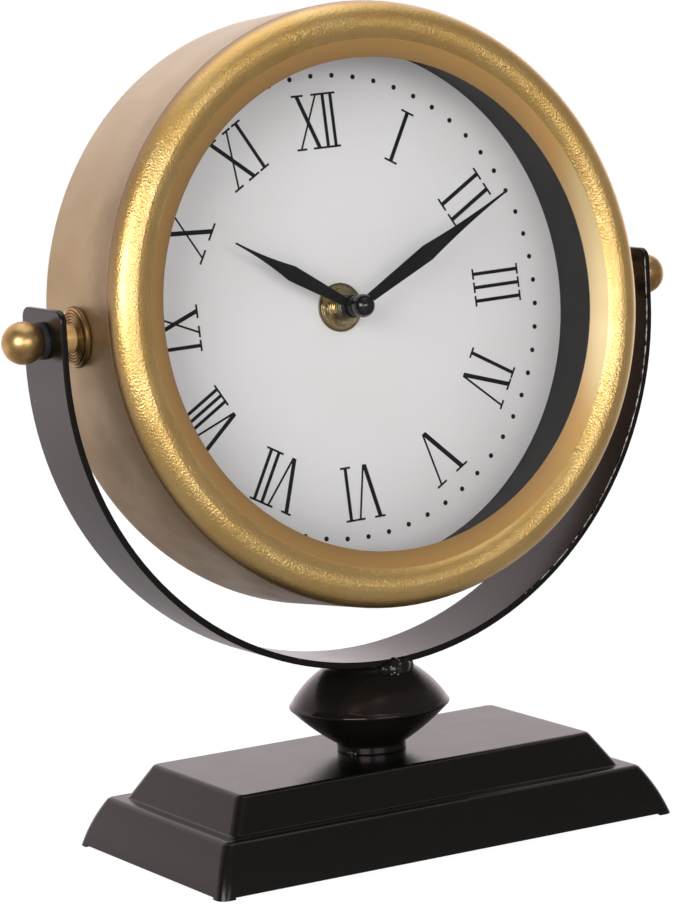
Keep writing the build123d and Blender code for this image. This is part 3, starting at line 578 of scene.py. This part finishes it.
def clear_glass():
    """Clear flat glass: see-through, with a mirror sheen that grows at a slant and a trace of wiping marks."""
    f = Finish("glass_clear")
    wipe = f.noise(34.0, 4.0, f.stretched((1.0, 1.0, 0.25)))
    sheen = f.times(f.add("Fresnel", {"IOR": 1.4}).outputs[0], 0.25)
    shader = f.add("BsdfPrincipled", {
        "Base Color": (0.93, 0.95, 0.95), "Metallic": 1.0, "Roughness": f.span(wipe, 0.35, 0.7, 0.015, 0.05),
    })
    clear = f.add("BsdfTransparent", {"Color": (0.985, 0.99, 0.99)})
    return f.closed(f.blend(sheen, clear, shader))


def dress(material, *nodes):
    """Gives CAD nodes a material in place of their plain one."""
    for node in nodes:
        slots = frame["nodes"][node].data.materials
        slots.clear()
        slots.append(material)


def put_piece(name, points, faces, material, body, slot, smooth=True):
    """Makes a mesh object at the origin from arrays and lets it ride on a body."""
    mesh = bpy.data.meshes.new(name)
    mesh.from_pydata(np.asarray(points).reshape(-1, 3).tolist(), [], faces)
    mesh.polygons.foreach_set("use_smooth", [smooth] * len(mesh.polygons))
    mesh.materials.append(material)
    mesh.update()
    piece = bpy.data.objects.new(name, mesh)
    bpy.context.scene.collection.objects.link(piece)
    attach(piece, body)
    return piece


def ring_faces(rows, columns, close_rows=False):
    """Quads of a grid whose columns close on themselves; its rows close too where asked."""
    row = np.arange(rows if close_rows else rows - 1)[:, None]
    column = np.arange(columns)[None, :]
    after, beside = (row + 1) % rows, (column + 1) % columns
    corners = [row * columns + column, row * columns + beside, after * columns + beside, after * columns + column]
    return np.stack(corners, -1).reshape(-1, 4).tolist()


def full_turn(count):
    """Angles of a full turn in equal steps, as one row."""
    return np.linspace(0, 2 * math.pi, count, endpoint=False)[None, :]


def prisms(outlines, low, high):
    """Upright prisms on flat outlines of equal length: each outline at the low and the high level, walls and lids."""
    count, sides = outlines.shape[:2]
    floor = np.concatenate([outlines, np.full((count, sides, 1), low)], -1)
    lid = np.concatenate([outlines, np.full((count, sides, 1), high)], -1)
    points = np.stack([floor, lid], 1).reshape(-1, 3)
    start = np.arange(count)[:, None] * 2 * sides
    step = np.arange(sides)[None, :]
    ahead = (step + 1) % sides
    walls = np.stack([start + step, start + ahead, start + sides + ahead, start + sides + step], -1).reshape(-1, 4)
    lids = start + sides + step
    floors = start + step[:, ::-1]
    return points, [*walls.tolist(), *lids.tolist(), *floors.tolist()]


def on_dial(points):
    """Dial points (right, up, height above the card) put in the row frame on the front of the dial."""
    right, up, height = np.moveaxis(points, -1, 0)
    return to_row(np.stack([right, DIAL_FRONT - height, up], -1))


def slanted(low_x, high_x, width, low, high):
    """A stroke of even width across, from low to high."""
    half = width / 2
    return [(low_x - half, low), (low_x + half, low), (high_x + half, high), (high_x - half, high)]


# places in a letter, in shares of its width: the strokes' middles, and both ends of each serif bar
V_TIP, V_LEFT, V_RIGHT = 0.526, 0.18, 0.865
V_TOPS = ((0.0, 0.368), (0.70, 1.0))
X_HEAVY_LOW, X_HEAVY_HIGH = 0.79, 0.20
X_LIGHT_LOW, X_LIGHT_HIGH = 0.165, 0.845
X_TOPS = ((0.0, 0.42), (0.69, 1.0))
X_FEET = ((0.0, 0.35), (0.58, 1.0))


def bars(start, width, shares):
    """Ends of a letter's serif bars."""
    return [(start + first * width, start + last * width) for first, last in shares]


def letter_v(start, width, thick, thin, low, high, foot):
    """A heavy stroke down to the foot, and a light one that ends on its right side."""
    tip, left, right = (start + share * width for share in (V_TIP, V_LEFT, V_RIGHT))
    heavy = slanted(tip, left, thick, low - foot, high)
    corner = np.array(heavy[1])
    share = thin / ((right + thin / 2) - (left + thick / 2))
    meet = corner + share * (np.array(heavy[2]) - corner)
    light = [tuple(meet), tuple(corner), (right + thin / 2, high), (right - thin / 2, high)]
    return [heavy, light], bars(start, width, V_TOPS), []


def letter_x(start, width, thick, thin, low, high):
    """A heavy stroke from top left to bottom right, and a light one in two pieces that end on its sides."""
    heavy_low, heavy_high = start + X_HEAVY_LOW * width, start + X_HEAVY_HIGH * width
    light_low, light_high = start + X_LIGHT_LOW * width, start + X_LIGHT_HIGH * width
    closing = (light_high - light_low) - (heavy_high - heavy_low)

    def crossing(light_side, heavy_side):
        edge = light_low + light_side * thin / 2
        share = (heavy_low + heavy_side * thick / 2 - edge) / closing
        return edge + share * (light_high - light_low), low + share * (high - low)

    upper = [crossing(-1, 1), crossing(1, 1), (light_high + thin / 2, high), (light_high - thin / 2, high)]
    lower = [(light_low - thin / 2, low), (light_low + thin / 2, low), crossing(1, -1), crossing(-1, -1)]
    strokes = [slanted(heavy_low, heavy_high, thick, low, high), upper, lower]
    return strokes, bars(start, width, X_TOPS), bars(start, width, X_FEET)


def letter_i(start, width, stem, low, high):
    """An upright stem with a full serif at both ends."""
    middle = start + width / 2
    bar = (start, start + width)
    return [slanted(middle, middle, stem, low, high)], [bar], [bar]


def united(row):
    """Serif bars of one row, with those that touch made one."""
    merged = []
    for start, end in sorted(row):
        if merged and start <= merged[-1][1]:
            merged[-1] = (merged[-1][0], max(end, merged[-1][1]))
        else:
            merged.append((start, end))
    return merged


HOUR_DEGREES = 30
MINUTES, MINUTE_DEGREES = 60, 6.0
# each hour's letters, how far they are condensed, and the gap between them in millimetres
HOURS = (
    ("XII", 0.74, -0.7), ("I", 1.0, 0.0), ("II", 0.97, 1.3), ("III", 0.72, 0.85), ("IV", 0.767, 0.3), ("V", 1.0, 0.0),
    ("VI", 0.767, 0.1), ("VII", 0.72, -0.6), ("VIII", 0.645, -0.7), ("IX", 0.74, 0.7), ("X", 1.0, 0.0),
    ("XI", 0.767, 0.7),
)


def numeral_outlines(sizes, letters, condensed, gap):
    """Outlines of one numeral's strokes and serifs, in metres right of its axis and up from its middle."""
    widths = [condensed * (sizes.letter_one if mark == "I" else sizes.letter_wide) for mark in letters]
    low, high = -sizes.numeral_half + sizes.serif / 2, sizes.numeral_half - sizes.serif / 2
    start = -(sum(widths) + gap * (len(letters) - 1)) / 2
    # the strokes are condensed less than the letters
    stem = sizes.stem * (0.4 + 0.6 * condensed)
    thick = sizes.thick * (0.55 + 0.45 * condensed)
    strokes, tops, feet = [], [], []
    for mark, width in zip(letters, widths):
        if mark == "I":
            made = letter_i(start, width, stem, low, high)
        elif mark == "V":
            made = letter_v(start, width, thick, sizes.thin, low, high, sizes.foot)
        else:
            made = letter_x(start, width, thick, sizes.thin, low, high)
        strokes += made[0]
        tops += made[1]
        feet += made[2]
        start += width + gap
    half = sizes.serif / 2
    for level, row in ((sizes.numeral_half, tops), (-sizes.numeral_half, feet)):
        low, high = level - half, level + half
        strokes += [[(a, low), (b, low), (b, high), (a, high)] for a, b in united(row)]
    return np.array(strokes)


def turned_to(outlines, angle, ring):
    """Flat outlines moved out to a ring and turned clockwise by an angle from twelve o'clock."""
    right, up = outlines[..., 0], outlines[..., 1] + ring
    cosine, sine = math.cos(angle), math.sin(angle)
    return np.stack([right * cosine + up * sine, up * cosine - right * sine], -1)


class CLOCK_OT_numerals(bpy.types.Operator):
    """Print the twelve roman numerals on the dial"""

    bl_idname = "desk_clock.numerals"
    bl_label = "Numerals"

    def execute(self, context):
        sizes = context.scene.desk_clock_print
        outlines = []
        for hour, (letters, condensed, gap) in enumerate(HOURS):
            flat = numeral_outlines(sizes, letters, condensed, gap * MM)
            outlines.append(turned_to(flat, math.radians(HOUR_DEGREES * hour) + sizes.turn, sizes.numeral_ring))
        points, faces = prisms(np.concatenate(outlines), -sizes.sink, sizes.ink)
        put_piece("numerals", on_dial(points), faces, matt_black("ink_black"), "case", "hand_black", smooth=False)
        return {"FINISHED"}


class CLOCK_OT_minute_dots(bpy.types.Operator):
    """Print the ring of sixty minute dots"""

    bl_idname = "desk_clock.minute_dots"
    bl_label = "Minute dots"

    def execute(self, context):
        sizes = context.scene.desk_clock_print
        place = np.radians(np.arange(MINUTES) * MINUTE_DEGREES)[:, None] + sizes.turn
        side = full_turn(24)
        right = sizes.dot_ring * np.sin(place) + sizes.dot_radius * np.cos(side)
        up = sizes.dot_ring * np.cos(place) + sizes.dot_radius * np.sin(side)
        points, faces = prisms(np.stack([right, up], -1), -sizes.sink, sizes.ink)
        material = matt_black("dot_ink_black")
        put_piece("minute_dots", on_dial(points), faces, material, "case", "hand_black", smooth=False)
        return {"FINISHED"}


def skin(points, close_rows=False):
    """Faces of a closed surface given as a grid of points: quads, and a lid at each end where the rows stay open.
    All are turned over if the quads' signed volume shows that they face inwards."""
    rows, columns = points.shape[:2]
    faces = ring_faces(rows, columns, close_rows=close_rows)
    a, b, c, d = np.moveaxis((points - points.mean((0, 1))).reshape(-1, 3)[np.array(faces)], 1, 0)
    volume = np.sum(np.cross(a, b) * c) + np.sum(np.cross(a, c) * d)
    if not close_rows:
        ends = np.arange(rows * columns).reshape(rows, columns)
        faces += [ends[0, ::-1].tolist(), ends[-1].tolist()]
    return faces if volume > 0 else [face[::-1] for face in faces]


def bowed(start, end, bow, count=14):
    """Points of a profile from start to end: the straight line, moved to its right by a parabola as high as the bow."""
    share = np.linspace(0.0, 1.0, count)[:, None]
    run = np.subtract(end, start)
    right = np.array([run[1], -run[0]]) / np.hypot(*run)
    return start + share * run + 4 * share * (1 - share) * bow * right


def lump(path, across, up, size, ribs):
    """A closed bead of weld: ellipses carried along a path. They shrink towards both ends as the root of 1 less the
    fourth power of the way from the middle, and swell by two waves, one along the path and one round the ellipse."""
    along = np.linspace(0.0, 1.0, len(path))[:, None]
    around = full_turn(40)
    taper = np.maximum(1 - (2 * along - 1) ** 4, 1e-4) ** 0.5
    flatness, rib_height, ripple = 0.55, 0.13, 0.07
    swell = 1 + rib_height * np.sin(ribs * math.pi * along + 0.6) + ripple * np.sin(3 * around + 9 * along)
    reach = size * taper * swell
    points = path[:, None, :] + reach[..., None] * (
        flatness * np.cos(around)[..., None] * across[:, None, :] + np.sin(around)[..., None] * up[:, None, :]
    )
    return points, skin(points)


# first and last angle of each weld, in degrees from the front towards the right, and the ribs along it
STRAP_ARC, STRAP_RIBS = (-14, 50), 7
FOOT_ARC, FOOT_RIBS = (-72, -54), 5


def weld_on(radius, arc, level, size, ribs):
    """A lump along an arc about Z."""
    turn = np.radians(np.linspace(*arc, 60))
    out = np.stack([np.sin(turn), -np.cos(turn), 0 * turn], -1)
    path = radius * out + np.array([0.0, 0.0, level])
    return lump(path, out, np.broadcast_to([0.0, 0.0, 1.0], out.shape), size, ribs)


def knob_solid():
    """Radius and level of each point of the knob's solid, and the radii of its foot and of its crown."""
    points = node_points("stem_knob")
    reach, level = np.hypot(points[:, 0], points[:, 1]), points[:, 2]
    foot = reach[level < BASE_HIGH.z + 0.2 * MM].max()
    crown = reach[level > YOKE_LOW.z - 0.5 * MM].max()
    return reach, level, foot, crown


class CLOCK_OT_knob(bpy.types.Operator):
    """Turn the knob between base and yoke: a profile of bowed lines swung about Z, cut off under the strap"""

    bl_idname = "desk_clock.knob"
    bl_label = "Knob"

    def execute(self, context):
        sizes = context.scene.desk_clock_detail
        reach, level, foot, crown = knob_solid()
        rim = level[reach > KNOB_RADIUS - 0.02 * MM].mean()
        bore = reach.min()
        shoulder = level[(level > rim) & (np.abs(reach - crown) < 0.05 * MM)].min()
        neck = foot - sizes.neck_slim
        edge = KNOB_RADIUS - sizes.rim_bow
        neck_top = (neck, BASE_HIGH.z + sizes.neck_height)
        rim_low, rim_high = (edge, rim - sizes.rim_half), (edge, rim + sizes.rim_half)
        saddle = np.stack([np.linspace(crown, bore, 12), np.full(12, level.max())], -1)
        profile = np.concatenate([
            [(bore, BASE_HIGH.z)],
            bowed((neck, BASE_HIGH.z), neck_top, 0.0, 6),
            bowed(neck_top, rim_low, sizes.bowl_bow)[1:],
            bowed(rim_low, rim_high, sizes.rim_bow)[1:],
            bowed(rim_high, (crown, shoulder), sizes.dome_bow)[1:],
            saddle,
        ])
        around = full_turn(192)
        x, y = profile[:, :1] * np.cos(around), profile[:, :1] * np.sin(around)
        under_strap = STRAP_CENTRE - np.sqrt(STRAP_RADIUS**2 - x**2)
        points = np.stack([x, y, np.minimum(profile[:, 1:], under_strap)], -1)
        # painted light: the knob's paint is a little lighter than the stand's
        material = satin_paint("knob_satin_black", polished=knob_polished, paint=settings().knob_lit_paint)
        piece = put_piece("knob_turned", points, skin(points, True), material, "stand", "stand_paint")
        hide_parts("stem_knob")
        return {"FINISHED"}


class CLOCK_OT_welds(bpy.types.Operator):
    """Lay the weld under the strap and the drop of weld at the foot of the knob"""

    bl_idname = "desk_clock.welds"
    bl_label = "Welds"

    def execute(self, context):
        sizes = context.scene.desk_clock_detail
        _, _, foot, crown = knob_solid()
        material = weld_paint()
        bead, drop = sizes.bead, sizes.foot_bead
        strap_weld = weld_on(crown + 0.15 * bead, STRAP_ARC, YOKE_LOW.z - 0.4 * bead, bead, STRAP_RIBS)
        foot_weld = weld_on(foot, FOOT_ARC, BASE_HIGH.z + 0.4 * drop, drop, FOOT_RIBS)
        put_piece("strap_weld", *strap_weld, material, "stand", "stand_paint")
        put_piece("foot_weld", *foot_weld, material, "stand", "stand_paint")
        return {"FINISHED"}


# the rosettes' rim: its bead's radius in shares of their thickness, and the notches cut round it
ROSETTE_BEAD = 0.34
KNURLS, KNURL_DEPTH = 90, 0.006


class CLOCK_OT_rosettes(bpy.types.Operator):
    """Turn the two rosettes: a profile with a round bead and cosine grooves swung about the tilt axis"""

    bl_idname = "desk_clock.rosettes"
    bl_label = "Rosettes"

    def execute(self, context):
        sizes = context.scene.desk_clock_detail
        for side in ("left", "right"):
            low, high = case_extent("rosette_" + side)
            rim = high[2]
            near, far = sorted((abs(low[0]), abs(high[0])))
            flip = -1 if low[0] < 0 else 1
            bore = np.hypot(*to_case(node_points("spacer_" + side))[:, 1:].T).min()
            bead = ROSETTE_BEAD * (far - near)
            face = np.linspace(rim - 1.6 * bead, bore, 90)
            material = turned_gold("rosette_gold_" + side, brown=1.4, lift=1.25, pitch=sizes.groove, start=face[0])
            wave = 0.5 - 0.5 * np.cos(2 * math.pi * (face - face[0]) / sizes.groove)
            bend = np.linspace(-math.pi / 2, math.pi / 2, 18)
            rounded = np.stack([near + 1.25 * bead + bead * np.sin(bend), rim - bead + bead * np.cos(bend)], -1)
            back = np.array([[near, bore], [near, rim - 1.4 * bead]])
            front = np.stack([far - 0.1 * bead - sizes.groove_depth * wave, face], -1)
            profile = np.concatenate([back, rounded, front])
            around = full_turn(180)
            along, out = profile[:, :1], profile[:, 1:]
            knurl = 1 + KNURL_DEPTH * np.cos(KNURLS * around) * (out > rim - 0.5 * bead)
            swing = np.minimum(out * knurl, rim)
            points = np.stack([flip * along + 0 * around, swing * np.cos(around), swing * np.sin(around)], -1)
            piece = put_piece(
                "rosette_turned_" + side, to_row(points), skin(points, True), material, "case", "turned_gold"
            )
            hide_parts("rosette_" + side)
        return {"FINISHED"}


class CLOCK_OT_stand_finish(bpy.types.Operator):
    """Paint the base and yoke, and finish what lies under the base"""

    bl_idname = "desk_clock.stand_finish"
    bl_label = "Stand finish"

    def execute(self, context):
        dress(satin_paint("stand_satin_black"), "base_shell", "back_panel")
        dress(satin_paint("strap_satin_black", strap_wear_and_highlight), "yoke")
        dress(moulded_plastic("washer_black", (0.012,) * 3, (0.02,) * 3, 0.5, 0.62), "collar_left", "collar_right",
              "dial_gasket")
        dress(fibre_board("base_board", (0.022, 0.02, 0.018), (0.05, 0.045, 0.04)), "base_cover")
        dress(felt(), "foot_pads")
        return {"FINISHED"}


class CLOCK_OT_case_finish(bpy.types.Operator):
    """Gild the drum, bezel and pivots, and finish the dial, sleeve, glass and hands"""

    bl_idname = "desk_clock.case_finish"
    bl_label = "Case finish"

    def execute(self, context):
        dress(drum_gold(), "drum_shell")
        dress(bezel_gold(), "bezel")
        dress(turned_gold("turned_gold"), "finial_left", "finial_right")
        # painted light: the spacers are a lighter, less metallic copy of the turned gold, in place of the lamp light
        # that the yoke's ears keep off them
        dress(turned_gold("spacer_gold_painted_light", brown=0.6, lift=1.5, metal=0.4), "spacer_left", "spacer_right")
        dress(clear_glass(), "glass_pane")
        dress(moulded_plastic("sleeve_black", (0.006, 0.0055, 0.005), (0.009, 0.008, 0.0075), 0.45, 0.6), "reveal_ring")
        dress(dial_card(), "dial_print")
        dress(fibre_board("dial_board", (0.36, 0.27, 0.18), (0.48, 0.38, 0.27)), "dial_board")
        dress(matt_black("hand_black", 0.42, 0.55), "hour_hand", "minute_hand")
        cap = matt_black("cap_gloss_black", low=0.05, high=0.09, grain=500.0, depth=0.000003, level=0.6)
        dress(cap, "hand_cap")
        dress(aged_brass("brass_aged"), "dial_washer", "dial_nut", "dial_bushing")
        return {"FINISHED"}


class CLOCK_OT_movement_finish(bpy.types.Operator):
    """Finish the movement, its wheels and its cell, and the plated fasteners"""

    bl_idname = "desk_clock.movement_finish"
    bl_label = "Movement finish"

    def execute(self, context):
        dress(plated_steel("zinc_plate", (0.60, 0.60, 0.58), (0.45, 0.46, 0.46)), "stem_stud", "stem_washer",
              "stem_nut", "pivot_nut_left", "pivot_nut_right", "dial_ring", "back_screws", "stator", "minute_arbor")
        dress(plated_steel("contact_nickel", (0.74, 0.72, 0.67), (0.60, 0.58, 0.54)), "contact_plus", "contact_minus")
        dress(moulded_plastic("movement_black", (0.014, 0.014, 0.015), (0.022, 0.022, 0.023), 0.42, 0.56),
              "movement_front", "movement_plate", "movement_back")
        dress(moulded_plastic("wheel_white", (0.76, 0.75, 0.70), (0.68, 0.66, 0.61), 0.34, 0.46), "hour_wheel",
              "set_wheel", "set_knob")
        dress(copper_winding(), "coil")
        dress(circuit_green(), "circuit_board")
        dress(cell_jacket(), "cell")
        return {"FINISHED"}


WHITE = (1.0, 1.0, 1.0, 1.0)
REFLECTED = (1.0, 0.90, 0.915, 1.0)
FLOOR_GLOW = 1.08
FLOOR_SIDES = 96
FILM_WIDTH = 36.0
LAMP_AIM = (0.0, 0.0, 0.15)
# each soft panel's place, width and height in metres
PANELS = {
    "front": ((-0.16, -1.55, 0.42), 0.95, 0.5),
    "left": ((-1.32, -1.02, 0.62), 1.0, 0.8),
    "top": ((0.2, 0.1, 1.7), 1.5, 1.5),
}


def studio_world(stage):
    """White behind the object, a dimmer room in front of it for reflections, and an even light all round."""
    world = bpy.data.worlds.new("studio")
    bpy.context.scene.world = world
    w = Nodes(world)
    x, y, z = w.parts(w.add("TexCoord").outputs["Generated"])
    level = w.span(y, 0.05, 0.65, stage.dim, stage.back)
    # a little darker overhead and at the left
    level = w.times(level, w.span(z, 0.15, 0.34, 1.0, 0.75))
    level = w.times(level, w.span(x, -0.6, -0.15, 0.6, 1.0))
    mirrored = w.add("Background", {"Color": REFLECTED, "Strength": level})
    seen = w.add("Background", {"Color": WHITE})
    even = w.add("Background", {"Color": WHITE, "Strength": stage.ambient})
    path = w.add("LightPath").outputs
    direct = w.calc("MAXIMUM", path["Is Camera Ray"], path["Is Transmission Ray"])
    bounced = w.blend(path["Is Glossy Ray"], even, mirrored)
    w.add("OutputWorld", {"Surface": w.blend(direct, bounced, seen).outputs[0]})


def floor_white(stage):
    """White floor that keeps the shadow; in reflections it fades in front of the object like the room."""
    f = Finish("floor_white")
    x, y, z = f.parts(f.place)
    path = f.add("LightPath").outputs
    grain = f.noise(6.0, 3.0)
    paper = f.mix(f.span(grain, 0.3, 0.7), (0.86, 0.86, 0.86), (0.84, 0.84, 0.84))
    fade = f.span(y, -0.15, 0.65, 0.55 * stage.dim, stage.back)
    glossy = path["Is Glossy Ray"]
    level = f.calc("MULTIPLY_ADD", glossy, f.calc("SUBTRACT", fade, FLOOR_GLOW), FLOOR_GLOW)
    tint = f.mix(glossy, WHITE, REFLECTED)
    seen = f.calc("MAXIMUM", path["Is Camera Ray"], f.calc("MAXIMUM", glossy, path["Is Transmission Ray"]))
    matt = f.add("BsdfDiffuse", {"Color": paper})
    glow = f.add("Emission", {"Color": tint, "Strength": level})
    return f.closed(f.blend(f.times(seen, 0.9), matt, glow))


def soft_panel(name, place, aim, width, height, brightness):
    """A rectangular lamp turned to its aim; brightness is how bright its face is."""
    data = bpy.data.lights.new(name, "AREA")
    data.shape = "RECTANGLE"
    data.size, data.size_y = width, height
    data.energy = brightness * math.pi * width * height
    lamp = bpy.data.objects.new(name, data)
    lamp.location = place
    lamp.rotation_euler = (Vector(aim) - Vector(place)).to_track_quat("-Z", "Y").to_euler()
    lamp.visible_camera = False
    bpy.context.scene.collection.objects.link(lamp)


class CLOCK_OT_stage(bpy.types.Operator):
    """Set up the floor, the white surround, the soft panels and the camera"""

    bl_idname = "desk_clock.stage"
    bl_label = "Stage"

    def execute(self, context):
        stage = context.scene.desk_clock_stage
        scene = context.scene
        studio_world(stage)
        radius = stage.floor_radius * np.linspace(0.0, 1.0, 3)[1:, None]
        around = full_turn(FLOOR_SIDES)
        disc = np.stack([radius * np.cos(around), radius * np.sin(around), 0 * radius * around], -1)
        mesh = bpy.data.meshes.new("floor")
        mesh.from_pydata(disc.reshape(-1, 3).tolist(), [], [list(range(FLOOR_SIDES)), *ring_faces(2, FLOOR_SIDES)])
        mesh.materials.append(floor_white(stage))
        floor = bpy.data.objects.new("floor", mesh)
        scene.collection.objects.link(floor)
        for side, (place, width, height) in PANELS.items():
            soft_panel(side + "_panel", place, LAMP_AIM, width, height, getattr(stage, side + "_light"))
        data = bpy.data.cameras.new("photo_camera")
        data.sensor_fit = "AUTO"
        data.sensor_width = FILM_WIDTH
        data.lens = stage.lens
        camera = bpy.data.objects.new("photo_camera", data)
        turn = Matrix.Rotation(stage.heading, 4, "Z") @ Matrix.Rotation(math.pi / 2 - stage.pitch, 4, "X")
        camera.matrix_world = Matrix.Translation(stage.place) @ turn @ Matrix.Rotation(stage.roll, 4, "Z")
        scene.collection.objects.link(camera)
        scene.camera = camera
        scene.view_settings.view_transform = "Standard"
        return {"FINISHED"}


class CLOCK_PT_panel(bpy.types.Panel):
    """Sizes, colours and steps of the desk clock"""

    bl_idname = "CLOCK_PT_panel"
    bl_label = "Desk clock"
    bl_space_type = "VIEW_3D"
    bl_region_type = "UI"
    bl_category = "Clock"

    def draw(self, context):
        for step in STEPS:
            self.layout.operator(step.bl_idname)
        for name, group in GROUPS.items():
            box = self.layout.box()
            for entry in group.__annotations__:
                box.prop(getattr(context.scene, name), entry)


GROUPS = {
    "desk_clock_print": ClockPrint,
    "desk_clock_finish": ClockFinish,
    "desk_clock_detail": ClockDetail,
    "desk_clock_stage": ClockStage,
}
STEPS = (
    CLOCK_OT_stage, CLOCK_OT_stand_finish, CLOCK_OT_case_finish, CLOCK_OT_movement_finish, CLOCK_OT_numerals,
    CLOCK_OT_minute_dots, CLOCK_OT_rosettes, CLOCK_OT_knob, CLOCK_OT_welds,
)


def register():
    for entry in (*GROUPS.values(), *STEPS, CLOCK_PT_panel):
        bpy.utils.register_class(entry)
    for name, group in GROUPS.items():
        setattr(bpy.types.Scene, name, bpy.props.PointerProperty(type=group))


def unregister():
    for name in GROUPS:
        delattr(bpy.types.Scene, name)
    for entry in (CLOCK_PT_panel, *reversed(STEPS), *GROUPS.values()):
        bpy.utils.unregister_class(entry)


def main():
    register()
    bpy.ops.desk_clock.stage()
    bpy.ops.desk_clock.stand_finish()
    bpy.ops.desk_clock.case_finish()
    bpy.ops.desk_clock.movement_finish()
    bpy.ops.desk_clock.numerals()
    bpy.ops.desk_clock.minute_dots()
    bpy.ops.desk_clock.rosettes()
    bpy.ops.desk_clock.knob()
    bpy.ops.desk_clock.welds()
    bpy.context.view_layer.update()


if __name__ == "__main__":
    main()
